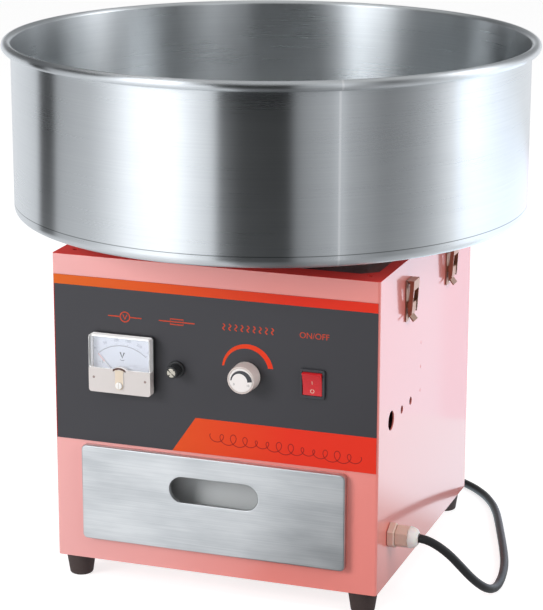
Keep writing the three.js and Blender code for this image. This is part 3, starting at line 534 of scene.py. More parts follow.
# Drawer runners and tray
# Bent from 1.5 mm and 1.2 mm stainless sheet; the runners stand on the base sheet and the tray
# slides between them.
# A dull rolled stainless sheet: fine grain along X, soft grey reflections
rolled_stainless = grained("rolled_stainless", "c3c7c9", 0.45, 0.5, 0.004, 0.06,
                           stretch=(0.04, 1, 1), Metallic=0.55)
for side in ("left", "right"):
    cad_piece(f"runner_{side}", f"drawer_runner_{side}", rolled_stainless)
# The tray is pickled instead: pale, matt and only half like a mirror
pickled_stainless = grained("pickled_stainless", "dfe2e3", 0.6, 0.7, 0.01, Metallic=0.2)
cad_piece("tray_sheet", "drawer_tray", pickled_stainless)

# Motor and fan
# A die-cast aluminium motor hangs from a zinc plated mount plate under the deck, with a moulded
# nylon fan below it. All of it shows only from behind or below.


def turned_piece(name, node, material, corners, sides=120):
    """A piece of one outline turned about the machine's own axis"""
    piece(name, [(turned(corners, sides), material)], node)


# Die-cast aluminium is a dull grey with its mould's grain, the zinc plate is brighter and the
# nylon black and satin
cast_aluminium = grained("die_cast_aluminium", "a3a6a8", 0.48, 1.5, 0.05, 0.07, Metallic=1)
bright_zinc = grained("bright_zinc_plate", "bfb8ac", 0.32, 2.5, 0.01, 0.06, Metallic=1)
moulded_nylon = grained("black_moulded_nylon", "1a1b1c", 0.45, 1, 0.03, 0.05)
cad_piece("mount_plate", "motor_mount", bright_zinc, 0.4)
motor_profile = [(7, 192.4, 0), (30, 192.4, 1), (38, 196, 2), (46, 203, 2)]
for rib in range(9):
    z = 214 + rib * 8
    motor_profile += [(46, z, 0.5), (43.6, z + 1, 0.5), (43.6, z + 4, 0.5), (46, z + 5, 0.5)]
motor_profile += [(46, 294, 2), (37, 306.4, 2), (15, 306.4, 0.5), (15, 311.2, 0.4), (7, 311.2, 0)]
turned_piece("motor_housing", "motor_case", cast_aluminium, motor_profile, sides=96)
cad_piece("motor_fan", "cooling_fan", moulded_nylon)

# Shaft, slip rings and brushes
# The ground steel shaft carries two brass rings on a turned hub; two carbon brushes in a
# phenolic holder press on them and feed the heater.
# Ground steel and turned brass are bright, with fine lines round them; the phenolic resin is
# dark brown and satin, and the carbon matt
ground_steel = grained("ground_steel", "b4b7ba", 0.2, 0.3, 0.002, 0.04, stretch=(1, 1, 6),
                       Metallic=1)
turned_brass = grained("turned_brass", "b8924c", 0.25, 0.3, 0.003, 0.05, stretch=(1, 1, 8),
                       Metallic=1)
phenolic = grained("phenolic_resin", "2b211c", 0.5, 0.9, 0.03, 0.06)
brush_carbon = grained("brush_carbon", "26272a", 0.7, 0.4, 0.05, 0.05)
turned_piece("ground_shaft", "motor_shaft", ground_steel, [
    (0, 172.4, 0), (6, 172.4, 1), (6, 400, 1.2), (0, 400, 0),
], sides=48)
ring_profile = [(6.3, 314, 0), (20, 314, 0.5)]
for middle in (323, 335):
    ring_profile += [(20, middle - 4, 0.2), (22, middle - 4, 0.4), (22, middle + 4, 0.4),
                     (20, middle + 4, 0.2)]
ring_profile += [(20, 344, 0.6), (6.3, 344, 0)]
turned_piece("ring_hub", "slip_ring_hub", turned_brass, ring_profile, sides=72)
cad_piece("brush_block", "brush_holder", phenolic, 0.4)
for level in ("lower", "upper"):
    cad_piece(f"carbon_{level}", f"brush_{level}", brush_carbon)

# Control film
# A printed polyester film glued to the upper front. The ink is dark grey with an orange stripe
# along the top, an orange-red field at the lower right and orange signs over the controls.


def on_front(x, z):
    return on_face((0, -1, 0), (x, -half_cabinet, z))


def flat_shape(outline, back, front):
    """A flat outline of (x, y) points given a thickness"""
    return skinned([[(x, y, back) for x, y in outline], [(x, y, front) for x, y in outline]])


def box_shape(left, right, bottom, top, back, front):
    return flat_shape([(left, bottom), (right, bottom), (right, top), (left, top)], back, front)


def arc_points(middle, radius, start, end, steps):
    """Points of an arc, its angles in degrees"""
    angles = [math.radians(start + (end - start) * i / steps) for i in range(steps + 1)]
    return [
        (middle[0] + radius * math.cos(angle), middle[1] + radius * math.sin(angle))
        for angle in angles
    ]


def stroke(points, width, back, front, closed=False):
    """A flat line drawn along points"""
    points = [Vector(point) for point in points]
    count = len(points)
    loops = []
    for i, point in enumerate(points):
        before = points[i - 1] if closed or i else point
        after = points[(i + 1) % count] if closed or i < count - 1 else point
        side = (after - before).orthogonal().normalized() * width / 2
        loops.append([
            (*(point + side), back), (*(point - side), back), (*(point - side), front),
            (*(point + side), front),
        ])
    return skinned(loops, closed=closed)


def lettering(text, size, middle, turn, back, front):
    """Plain digits or a unit sign as a flat shape, centred on a point"""
    curve = bpy.data.curves.new("lettering", "FONT")
    curve.body = text
    curve.size = size
    curve.align_x = "CENTER"
    curve.align_y = "CENTER"
    curve.extrude = (front - back) / 2
    holder = bpy.data.objects.new("lettering", curve)
    shape = bmesh.new()
    shape.from_mesh(holder.to_mesh())
    holder.to_mesh_clear()
    bpy.data.objects.remove(holder)
    bpy.data.curves.remove(curve)
    bmesh.ops.remove_doubles(shape, verts=shape.verts, dist=1e-4)
    shape.transform(
        Matrix.Translation((*middle, (back + front) / 2))
        @ Matrix.Rotation(math.radians(turn), 4, "Z")
    )
    return shape


film_place = on_front(0, 0)
ink_from, ink_to = 0.6, 0.645
# Fine-textured polyester: a satin face with a very small embossed grain
grey_film = grained("grey_printed_film", "37363a", 0.42, 0.7, 0.012, 0.04)
cad_piece("control_film", "control_overlay", grey_film, 0.12, 1)
# Screen inks, opaque and satin. The orange turns to red at the right, and the signs are printed
# more thinly, so the grey shows through them
orange_ink, maroon_ink, thin_ink = [
    grained(name, colour, roughness, 0.7, 0.012, Specular_IOR_Level=0.25)
    for name, colour, roughness in (
        ("orange_screen_ink", "e8501f", 0.42), ("maroon_screen_ink", "a01f1a", 0.45),
        ("thin_screen_ink", "c9452a", 0.42),
    )
]
faded(orange_ink, -0.16, 0.08, "df661e", "e8311a")


def printed(name, shapes, ink):
    """One piece of screen printing on the film"""
    piece(name, [(shape, ink) for shape in shapes], place=film_place)


film_side, field_low, stripe_low = 161, 143.05, 296.8
printed("film_stripe", [
    box_shape(-film_side, film_side, stripe_low, 306, ink_from, ink_to),
], orange_ink)
printed("film_field", [flat_shape([
    (-41, field_low), (film_side, field_low), (film_side, 178), (-17.2, 178),
], ink_from, ink_to)], orange_ink)
printed("film_edge_line", [
    box_shape(-film_side, -film_side + 0.8, field_low, stripe_low, ink_from, ink_to),
], maroon_ink)

# The thick arc over the knob grows wider clockwise, for more heat
heat_arc = arc_points((35, 230), 25.4, 174, 9, 40) + arc_points((33.6, 228.9), 22.2, 13, 170, 40)
printed("film_heat_arc", [flat_shape(heat_arc, ink_from, ink_to)], orange_ink)

# Generic signs stand where the words were: a meter and a fuse as in a wiring diagram, and heat
sign_row = 270
sign_line = 1.1
meter_sign, fuse_sign, heat_sign, power_sign = -88, -35.5, 35.5, 99
signs = []


def sign(middle, points, closed=False):
    """One line of a sign, its points set out from a middle on the row"""
    places = [(middle + x, sign_row + y) for x, y in points]
    signs.append(stroke(places, sign_line, ink_from, ink_to, closed))


sign(meter_sign, arc_points((0, 0), 4.8, 0, 348, 29), closed=True)
sign(meter_sign, [(-2.1, 2.3), (0, -2.4), (2.1, 2.3)])
for side in (-1, 1):
    sign(meter_sign, [(side * 5.2, 0), (side * 17, 0)])
    sign(fuse_sign, [(side * 6.9, 0), (side * 18, 0)])
sign(fuse_sign, [(-6.5, -2.6), (6.5, -2.6), (6.5, 2.6), (-6.5, 2.6)], closed=True)
sign(fuse_sign, [(-6.5, 0), (6.5, 0)])
for column in range(-4, 5):
    heights = [-3.2 + 0.2 * i for i in range(33)]
    sign(heat_sign, [(6 * column + math.sin(height * 1.25), height) for height in heights])
signs.append(lettering("ON/OFF", 8, (power_sign + 1.2, sign_row - 0.8), 0, ink_from, ink_to))
printed("film_signs", signs, thin_ink)

# A looped thread of spun sugar crosses the orange field where the words were
thread_loops, steps_a_loop = 13, 24
thread_steps = thread_loops * steps_a_loop
thread = []
for i in range(thread_steps + 1):
    turn = math.tau * i / steps_a_loop
    share = i / thread_steps
    size = 4.6 - 1.2 * math.cos(turn / thread_loops * 3)
    thread.append((
        -2 + 148 * share - size * 0.95 * math.sin(turn), 160.5 - 6 * share + size * math.cos(turn)
    ))
printed("film_thread", [stroke(thread, 0.8, ink_to, ink_to + 0.04)], maroon_ink)

# Voltmeter
# A panel meter 63 by 56 mm: black phenolic case, printed card, clear polystyrene window above
# and an ivory cover below, where a raised bar leads up from the zero screw to the needle.
meter_x = -89.4
meter_place = on_front(meter_x, 225.5)
meter_front = 13.0
pivot_drop = -19.5
split = -4.5
# Phenolic moulding, black and fairly glossy
black_phenolic = grained("black_phenolic", "2d2e2f", 0.35, 1.2, 0.02, 0.04)
# Printed card, matt and slightly blue
dial_card = grained("dial_card", "e3e9f7", 0.65, 0.3, 0.01)
# Clear polystyrene: clear through its face and milky at its walls. Its walls that face up or
# down glow a little: painted light, for the light that the bowl keeps off the top edge
clear_styrene = finish("clear_polystyrene", "ffffff", 0.1, Emission_Color=(1, 0.98, 0.97, 1))
clear_tree = clear_styrene.node_tree
clear_facing = add_node(clear_tree, "SeparateXYZ", {
    "Vector": add_node(clear_tree, "NewGeometry").outputs["Normal"],
})
for axis, start, end, from_level, to_level, socket in (
    ("Y", 0.4, 0.95, 1.0, 0.12, "Alpha"), ("Z", 0.6, 1.0, 0.0, 0.35, "Emission Strength"),
):
    facing = add_node(clear_tree, "Math", {0: clear_facing.outputs[axis]}, operation="ABSOLUTE")
    feed(clear_styrene, socket, add_node(clear_tree, "MapRange", {
        "Value": facing, "From Min": start, "From Max": end, "To Min": from_level,
        "To Max": to_level,
    }))
# Ivory styrene: warm greyish white with a soft gloss. The raised bar is moulded in a creamier one
ivory_styrene = grained("ivory_polystyrene", "dbd4d1", 0.35, 1.5, 0.015, 0.04, Coat_Weight=0.2)
cream_styrene = grained("cream_polystyrene", "e6d6c2", 0.35, 1.5, 0.015)
cad_piece("meter_case", "voltmeter_case", black_phenolic, 0.5)
card_shape = from_cad("voltmeter_dial", 0.1, 1)
for vertex in card_shape.verts:
    # Its right edge stops short of the window's wall and lets the black case show
    vertex.co.x -= 1.1 if vertex.co.x > meter_x else 0
piece("meter_card", [(card_shape, dial_card)], "voltmeter_dial")
cad_piece("meter_window", "voltmeter_window", clear_styrene, 0.45)
cad_piece("meter_cover", "voltmeter_cover", ivory_styrene, 0.5)

# Card printing: the scale, plain numbers and the unit
card_ink, grey_card_ink, pale_card_ink = [
    finish(name, colour, 0.7) for name, colour in (
        ("dark_card_ink", "454c59"), ("grey_card_ink", "737a88"), ("pale_card_ink", "98a1b8"),
    )
]
card_print = (5.0, 5.04)
scale_pivot = (0, pivot_drop)
scale_radius = 36.6
scale_start, scale_end = 131, 49
scale_line = arc_points(scale_pivot, scale_radius, scale_start, scale_end, 40)
marks = [(stroke(scale_line, 0.5, *card_print), grey_card_ink)]


def scale_point(share, reach):
    """A place that far outside the scale's line, and its direction in degrees"""
    angle = scale_start + (scale_end - scale_start) * share
    return arc_points(scale_pivot, scale_radius + reach, angle, angle, 1)[0], angle


for i in range(26):
    tick = [scale_point(i / 25, reach)[0] for reach in (0, 1.2 if i % 5 else 2.4)]
    marks.append((stroke(tick, 0.3, *card_print), pale_card_ink))
for i, number in enumerate(("0", "50", "100", "150", "200", "250")):
    at, angle = scale_point(i / 5, 5.4)
    marks.append((lettering(number, 3.8, at, angle - 90, *card_print), pale_card_ink))
marks += [(shape, card_ink) for shape in (
    stroke([(-2.1, 10.8), (0, 5.4), (2.1, 10.8)], 1.35, *card_print),
    lettering("~ 2.5", 3.2, (-20.5, -0.6), 0, *card_print),
    stroke(arc_points((0, 6.4), 3.6, 235, 305, 8), 0.5, *card_print),
)]
piece("meter_scale", marks, place=meter_place)

# The needle is aluminium, lacquered white, with its outer half dipped red
needle_lacquer = finish("needle_lacquer", "e9ebf0", 0.4)
red_lacquer = finish("red_lacquer", "e4aaa9", 0.4)
needle_shape = from_cad("voltmeter_needle", 0)
dipped = 27
needle_angle = math.radians(scale_start)
needle_way = Vector((math.cos(needle_angle), math.sin(needle_angle), 0))
cut_at = meter_place @ (Vector((0, pivot_drop, 0)) + needle_way * dipped)
cut_way = meter_place.to_3x3() @ needle_way
bmesh.ops.bisect_plane(
    needle_shape, geom=needle_shape.verts[:] + needle_shape.edges[:] + needle_shape.faces[:],
    plane_co=cut_at, plane_no=cut_way,
)
for face in needle_shape.faces:
    face.material_index = int((face.calc_center_median() - cut_at).dot(cut_way) > 0)
piece("meter_needle", [(needle_shape, [needle_lacquer, red_lacquer])], "voltmeter_needle")

# The arch over the bar is filled with dark brown, painted shade for the shadowed gap above the
# bar, and the two cover screws are small and brown
hump_radius, hump_middle = 10.6, split - 8.4
arch_shape = flat_shape(
    arc_points((0, hump_middle), hump_radius - 0.05, 52, 128, 20)
    + arc_points((0, hump_middle - 3.4), hump_radius + 1.2, 124, 56, 20),
    meter_front - 0.1, meter_front + 0.08,
)
bar_shape = skinned([
    [Vector((x, y, meter_front + out)) for x, y in filleted([
        (-half, -24, half - 0.3), (half, -24, half - 0.3), (half, split - 0.2, 0.8),
        (-half, split - 0.2, 0.8),
    ], steps=8)]
    for half, out in ((4.35, -0.5), (4.35, 0.45), (4.0, 0.64))
])
dark_umber = finish("dark_umber_paint", "5b4038", 0.6)
browned_screw = finish("browned_screw", "a38f8a", 0.4, Metallic=0.4)
cover_trim = [(bar_shape, cream_styrene), (arch_shape, dark_umber)]
for x in (-26.2, 26.2):
    spot = turned([(0, meter_front - 0.2, 0), (1.4, meter_front - 0.2, 0),
                   (1.2, meter_front + 0.12, 0.1), (0, meter_front + 0.2, 0)], sides=24)
    spot.transform(Matrix.Translation((x, -13.6, 0)))
    cover_trim.append((spot, browned_screw))
piece("meter_cover_trim", cover_trim, place=meter_place)
zero_shape = turned([
    (0, 13.9, 0), (3.3, 13.9, 0.2), (3.5, 15.1, 0.35), (0, 15.1, 0),
], sides=48)
white_styrene = grained("white_polystyrene", "f6f4f2", 0.3, 1.5, 0.01)
slot_shade = finish("slot_shade", "ddd6ce", 0.6)
piece("zero_adjuster_head", [
    (zero_shape, white_styrene), (box_shape(-0.35, 0.35, -3, 3, 15.0, 15.14), slot_shade),
], "zero_screw", place=meter_place @ Matrix.Translation((0, pivot_drop, 0)))

# Fuse holder
# A black phenolic bush with a bayonet cap; the cap's end is a nickelled brass disc with crossed
# slots for a screwdriver, and a 5 by 20 mm glass fuse sits inside.
fuse_place = on_front(-36, 224)
bush_shape = turned([
    (3.4, 0.9, 0), (7.9, 0.9, 0.2), (8.25, 1.6, 0.3), (8.25, 2.7, 0.5), (7.3, 3.4, 0.4),
    (3.4, 3.4, 0),
], sides=64)
barrel_shape = turned([(3.4, -28, 0.3), (6, -28, 0.5), (6, 2, 0), (3.4, 2, 0)], sides=48)
piece("fuse_bush", [(bush_shape, black_phenolic), (barrel_shape, black_phenolic)],
      "fuse_holder", place=fuse_place)
cap_sides, cap_flutes, flute_depth = 96, 24, 0.3
cap_profile = [
    (3, 3.7, 0), (6.0, 3.7, 0), (6.2, 4.1, 1), (6.2, 13.4, 1), (6.0, 14.2, 0.6), (5.2, 14.7, 0),
    (4.6, 14.7, 0), (4.6, 14.2, 0), (2.9, 14.0, 0), (2.9, 9, 0),
]
cap_loops = []
for radius, out, fluted in cap_profile:
    cap_loops.append([])
    for i in range(cap_sides):
        angle = math.tau * i / cap_sides
        reach = radius - flute_depth * fluted * (0.5 + 0.5 * math.cos(cap_flutes * angle))
        cap_loops[-1].append((reach * math.cos(angle), reach * math.sin(angle), out))
disc_floor = turned([(0, 13.2, 0), (4.5, 13.2, 0), (4.5, 13.9, 0), (0, 13.9, 0)], sides=32)
cap_parts = [(skinned(cap_loops, closed=True), black_phenolic), (disc_floor, nickelled_brass)]
for quarter in range(4):
    outline = [(0.45, 0.45)] + arc_points((0, 0), 4.2, 8, 82, 10)
    quarter_disc = skinned([
        [(x, y, 13.5) for x, y in outline], [(x, y, 14.5) for x, y in outline],
        [(x * 0.93 + 0.05, y * 0.93 + 0.05, 14.65) for x, y in outline],
    ])
    quarter_disc.transform(Matrix.Rotation(math.radians(90 * quarter - 42), 4, "Z"))
    cap_parts.append((quarter_disc, nickelled_brass))
piece("fuse_cap_fluted", cap_parts, "fuse_cap", place=fuse_place)
# Soda glass tube with nickelled end caps
fuse_glass = finish("soda_glass", "eef3f4", 0.03, Alpha=0.3)
link_parts = [(turned([
    (2.0, -11.3, 0), (2.5, -11.3, 0), (2.5, 8.7, 0), (2.0, 8.7, 0),
], sides=32), fuse_glass)]
for low, high in ((-11.3, -6), (3.4, 8.7)):
    link_parts.append((turned([
        (0, low, 0), (2.6, low, 0.3), (2.6, high, 0.3), (0, high, 0),
    ], sides=32), nickelled_brass))
piece("glass_fuse", link_parts, "fuse_link", place=fuse_place)

# Heat knob
# A tapered beige grey ABS knob pushed on the regulator's shaft, with a pressed aluminium disc
# let into its face; the disc carries a crescent that widens clockwise.
knob_place = on_front(34, 224.8)
# Painted ABS: warm grey, satin
grey_abs = grained("warm_grey_abs", "ded2cd", 0.4, 0.8, 0.03, 0.05)
# Pressed aluminium disc, spun bright and lacquered
spun_aluminium = grained("spun_aluminium_disc", "f6efec", 0.35, 0.4, 0.004, 0.05, Metallic=0.2)
knob_shape = turned([
    (0, 1.3, 0), (13.6, 1.3, 0.3), (14, 2.0, 0.4), (13.4, 12, 1), (13.1, 16.8, 0.7),
    (11.75, 16.8, 0.15), (11.7, 15.9, 0), (0, 15.9, 0),
], sides=96)
knob_stem = turned([(0, -11.8, 0), (3, -11.8, 0.4), (3, 2.4, 0), (0, 2.4, 0)], sides=32)
piece("knob_body", [(knob_shape, grey_abs), (knob_stem, ground_steel)], "heat_knob",
      place=knob_place)
disc_face = 16.9
disc_shape = turned([
    (0, 16.1, 0), (11.4, 16.1, 0), (11.4, 16.75, 0.2), (11.1, disc_face, 0.1), (0, disc_face, 0),
], sides=96)
disc_print = (disc_face, disc_face + 0.04)
crescent = arc_points((0.6, -1.2), 10.7, 178, 4, 40) + arc_points((-1.1, -1.2), 7.7, 0, 174, 40)
crescent_ink = finish("crescent_ink", "414145", 0.5)
faint_ink = finish("faint_ink", "8f8c8c", 0.5)
piece("knob_disc", [
    (disc_shape, spun_aluminium), (flat_shape(crescent, *disc_print), crescent_ink),
    (lettering("0", 3, (-6.6, -4.2), 0, *disc_print), faint_ink),
    (lettering("10", 3, (7.2, -4.4), 0, *disc_print), faint_ink),
], "knob_face", place=knob_place)
cad_piece("heat_regulator", "regulator_body", phenolic, 0.5)

# Rocker switch
# A snap-in switch: black nylon bezel and body, red polycarbonate rocker with moulded I and O.
# It is off, so its upper end stands out.
switch_place = on_front(99, 224)
# The nylon is matt; the red polycarbonate is glossy and lets a little light in
bezel_nylon = grained("switch_nylon", "3c3d41", 0.6, 0.6, 0.02, 0.05)
red_rocker = finish("red_polycarbonate", "d3272e", 0.28, Subsurface_Weight=0.25,
                    Subsurface_Scale=0.002, Subsurface_Radius=(1, 0.2, 0.1))
mark_ink = finish("cream_rocker_mark", "e2b8a4", 0.5)
cad_piece("switch_body", "switch_housing", bezel_nylon, 0.45, 3)
rocker_pivot, rocker_radius, rocker_half = 0.8, 11.1, 9.5
rocker_tilt = 9
dip_height, dip_rise = 1.85, 1.35
dip_reach = rocker_radius * 0.95


def rocker_outline(inset):
    """The rocker's side view, (up, out): two crests about the pin with a dip between"""
    tilt = math.radians(rocker_tilt)
    lower, upper = [
        arc_points((0, 0), rocker_radius - inset, start + rocker_tilt, end + rocker_tilt, 8)
        for start, end in ((-20, 17), (163, 200))
    ]
    dip = []
    for share in (0.8, 0.6, 0.4, 0.2, 0, -0.2, -0.4, -0.6, -0.8):
        up = share * dip_reach
        out = dip_height + dip_rise * share * share - inset
        dip.append((
            up * math.cos(tilt) - out * math.sin(tilt), up * math.sin(tilt) + out * math.cos(tilt),
        ))
    return lower + dip + upper


def on_rocker(shape, up):
    """Lays a flat sign on the tilted face, that far up from the pin"""
    share = up / dip_reach
    slope = math.atan2(2 * dip_rise * share / dip_reach, 1)
    shape.transform(
        Matrix.Translation((0, 0, rocker_pivot))
        @ Matrix.Rotation(math.radians(rocker_tilt), 4, "X")
        @ Matrix.Translation((0, up, dip_height + dip_rise * share * share))
        @ Matrix.Rotation(slope, 4, "X")
    )
    return shape


rocker_shape = skinned([
    [(across, up, out + rocker_pivot) for up, out in rocker_outline(inset)]
    for across, inset in (
        (-rocker_half, 0.5), (-rocker_half + 0.15, 0.15), (-rocker_half + 0.5, 0),
        (rocker_half - 0.5, 0), (rocker_half - 0.15, 0.15), (rocker_half, 0.5),
    )
])
rocker_print = (-0.02, 0.05)
on_mark = on_rocker(box_shape(-0.35, 0.35, -1.6, 1.6, *rocker_print), 1.6)
off_circle = arc_points((0, 0), 1.7, 0, 345, 23)
off_mark = on_rocker(stroke(off_circle, 0.7, *rocker_print, closed=True), -6.7)
piece("rocker_red", [(rocker_shape, red_rocker), (on_mark, mark_ink), (off_mark, mark_ink)],
      "switch_rocker", place=switch_place, crease=40)

# Drawer front
# A shallow pan folded from 1.2 mm brushed stainless, its four bends rounded and its corners
# dressed. A finger slot with a turned-in edge is pressed through it above the middle.
pan_width, pan_height, pan_corner = 266, 95, 4.5
slot_width, slot_height, slot_shift, slot_rise = 89, 25.6, 2.5, 13.8
pan_back, pan_face, pan_sheet, bend = 0.6, 6.6, 1.2, 1.3


def rounded(width, height, radius, out, shift=0.0, rise=0.0):
    """A rounded rectangle loop"""
    loop = []
    for quarter, (right, top) in enumerate(((1, 1), (-1, 1), (-1, -1), (1, -1))):
        middle = (right * (width / 2 - radius) + shift, top * (height / 2 - radius) + rise)
        loop += [
            (x, y, out) for x, y in arc_points(middle, radius, 90 * quarter, 90 * quarter + 90, 8)
        ]
    return loop


def slot_loop(inset, out):
    return rounded(slot_width - 2 * inset, slot_height - 2 * inset, slot_height / 2 - inset - 0.01,
                   out, slot_shift, slot_rise)


def pan_loop(inset, out):
    return rounded(pan_width - 2 * inset, pan_height - 2 * inset,
                   max(pan_corner - inset * 0.5, 0.6), out)


def pan_bend(radius, inset, steps):
    """Loops round the pan's bend, from its side to its face"""
    angles = [math.radians(90 * i / steps) for i in range(steps + 1)]
    return [
        pan_loop(inset + radius * (1 - math.cos(angle)), pan_face - bend + radius * math.sin(angle))
        for angle in angles
    ]


pan_shape = skinned([
    pan_loop(0, pan_back), *pan_bend(bend, 0, 6), pan_loop(bend + 2, pan_face),
    *[slot_loop(inset, out) for inset, out in (
        (-3, 6.6), (-0.9, 6.6), (-0.5, 6.5), (-0.15, 6.2), (0, 5.8), (0, 2.6), (-0.6, 2.6),
        (-0.7, 5.4),
    )],
    *reversed(pan_bend(bend - pan_sheet, pan_sheet, 3)), pan_loop(pan_sheet, pan_back),
], closed=True)


def brushed(name, colour, roughness, anisotropy):
    """A steel lined round the Z axis: the room shows sharp along the lines, blurred across"""
    made = finish(name, colour, roughness, Metallic=1, Anisotropic=anisotropy,
                  Anisotropic_Rotation=0.25)
    feed(made, "Tangent", add_node(made.node_tree, "Tangent", direction_type="RADIAL", axis="Z"))
    return made


# Brushed 304 stainless: fine lines run across the pan, and along them the room shows sharp
# while it is blurred up and down; handling has left faint clouds in the sheen
drawer_steel = brushed("brushed_stainless", "c9cccd", 0.36, 0.8)
steel_tree = drawer_steel.node_tree
steel_place = add_node(steel_tree, "TexCoord").outputs["Object"]
steel_lines, steel_clouds = [
    add_node(steel_tree, "TexNoise", {
        "Vector": add_node(steel_tree, "Mapping", {"Vector": steel_place, "Scale": stretch}),
        "Scale": 1.0, "Detail": detail,
    })
    for stretch, detail in (((14, 900, 900), 2.0), ((14, 30, 45), 3.0))
]
feed(drawer_steel, "Roughness", add_node(steel_tree, "MapRange", {
    "Value": steel_clouds, "From Min": 0.3, "From Max": 0.7, "To Min": 0.32, "To Max": 0.4,
}))
steel_tone = add_node(steel_tree, "Math", {
    0: steel_clouds, 1: 2.0, 2: steel_lines,
}, operation="MULTIPLY_ADD")
steel_share = add_node(steel_tree, "MapRange", {
    "Value": steel_tone, "From Min": 1.1, "From Max": 1.9,
})
feed(drawer_steel, "Base Color", add_node(steel_tree, "MixRGB", {
    "Fac": steel_share, "Color1": hex_colour("c6c8c9"), "Color2": hex_colour("dedfdf"),
}))
piece("drawer_pan", [(pan_shape, drawer_steel)], "drawer_front", place=on_front(0, 92.5))

# Bowl seat
# A ring spun from 1.5 mm stainless, with a foot that is screwed to the deck and a top flange that
# the bowl rests on.
turned_piece("seat_ring", "bowl_seat", rolled_stainless, [
    (92, 311.8, 0.2), (108, 311.8, 0.3), (108, 313.3, 0.3), (93.5, 313.3, 1.2),
    (93.5, 346.6, 1.2), (126, 346.6, 0.3), (126, 348.1, 0.3), (92, 348.1, 1.6),
])

# Bowl
# Spun and seam welded 1.2 mm stainless: an upright wall with a rolled bead round the rim, a
# rounded knuckle at the bottom and a raised hole for the spinning head.
bowl_low, bowl_radius, bowl_sheet = 348.4, 251.0, 1.2
bead_radius, bowl_top = 4.85, 517.14
bead_middle = (bowl_radius + 4.2, bowl_top - bead_radius)
knuckle = 8.0
hole_radius, hole_lip, hole_fillet = 88.0, 12.0, 3
bowl_sides = 192


def wall_points(radius):
    step = (bowl_top - bowl_low - 2 * knuckle) / 8
    return [(radius, bowl_low + knuckle + step * i) for i in range(1, 8)]


def knuckle_arc(radius, start, end):
    return arc_points((bowl_radius - knuckle, bowl_low + knuckle), radius, start, end, 10)


def hole_arc(radius, start, end):
    return arc_points((hole_radius + hole_fillet, bowl_low + hole_fillet), radius, start, end, 4)


bowl_outline = [
    (hole_radius, bowl_low + hole_fillet), *hole_arc(hole_fillet, 180, 270),
    *knuckle_arc(knuckle, -90, 0), *wall_points(bowl_radius),
    *arc_points(bead_middle, bead_radius, -147, 165, 26),
    *reversed(wall_points(bowl_radius - bowl_sheet)), *knuckle_arc(knuckle - bowl_sheet, 0, -90),
    *hole_arc(hole_fillet - bowl_sheet, 270, 180),
    (hole_radius + bowl_sheet, bowl_low + hole_lip - 0.3),
    (hole_radius + bowl_sheet * 0.5, bowl_low + hole_lip), (hole_radius, bowl_low + hole_lip - 0.3),
]

# Polished 304 stainless with fine lines round the bowl, left by the planishing roller: it
# mirrors the room along the lines and blurs it up and down. A paler upright line is a painted
# highlight, for a narrow reflection; a roller has scored a fine dark line over the knuckle
bowl_steel = brushed("spun_stainless", "dfe3e5", 0.28, 1.0)
bowl_tree = bowl_steel.node_tree
bowl_axes = add_node(bowl_tree, "SeparateXYZ", {
    "Vector": add_node(bowl_tree, "TexCoord").outputs["Object"],
}).outputs
bowl_angle = add_node(bowl_tree, "Math", {
    0: bowl_axes["Y"], 1: bowl_axes["X"],
}, operation="ARCTAN2")
squares = [
    add_node(bowl_tree, "Math", {0: bowl_axes[axis], 1: bowl_axes[axis]}, operation="MULTIPLY")
    for axis in "XY"
]
squares_sum = add_node(bowl_tree, "Math", {0: squares[0], 1: squares[1]}, operation="ADD")
spun_place = add_node(bowl_tree, "CombineXYZ", {
    "X": bowl_angle, "Y": bowl_axes["Z"],
    "Z": add_node(bowl_tree, "Math", {0: squares_sum}, operation="SQRT"),
})
spun_lines, smudges = [
    add_node(bowl_tree, "TexNoise", {
        "Vector": add_node(bowl_tree, "Mapping", {"Vector": spun_place, "Scale": stretch}),
        "Scale": 1.0, "Detail": detail,
    })
    for stretch, detail in (((1.6, 800, 800), 4.0), ((2.2, 26, 26), 3.0))
]
spun_grain = add_node(bowl_tree, "Math", {0: spun_lines, 1: smudges}, operation="ADD")
feed(bowl_steel, "Roughness", add_node(bowl_tree, "MapRange", {
    "Value": spun_grain, "From Min": 0.7, "From Max": 1.3, "To Min": 0.27, "To Max": 0.29,
}))
# Where the painted highlight line stands round the bowl
seam_angle = math.radians(33.3) - math.pi / 2
score_height = (bowl_low + 11.5) * MM


def bowl_line(colour, across, at, core, edge, strength, line_colour):
    """Draws a line on the bowl where a measure across it comes to one value"""
    offset = add_node(bowl_tree, "Math", {0: across, 1: at}, operation="SUBTRACT")
    distance = add_node(bowl_tree, "Math", {0: offset}, operation="ABSOLUTE")
    share = add_node(bowl_tree, "MapRange", {
        "Value": distance, "From Min": core, "From Max": edge, "To Min": strength, "To Max": 0.0,
    })
    return add_node(bowl_tree, "MixRGB", {
        "Fac": share, "Color1": colour, "Color2": hex_colour(line_colour),
    })


bowl_tint = add_node(bowl_tree, "MixRGB", {
    "Fac": add_node(bowl_tree, "MapRange", {
        "Value": spun_grain, "From Min": 0.7, "From Max": 1.3,
    }),
    "Color1": hex_colour("dcdfe1"), "Color2": hex_colour("e5e8e9"),
})
bowl_seam = bowl_line(bowl_tint, bowl_angle, seam_angle, 0.002, 0.006, 0.6, "ffffff")
feed(bowl_steel, "Base Color", bowl_line(
    bowl_seam, bowl_axes["Z"], score_height, 0.0002, 0.0006, 0.7, "4c5152",
))
piece("bowl_spun", [
    (skinned([level_ring(r, h, bowl_sides) for r, h in bowl_outline], closed=True), bowl_steel),
], "bowl")

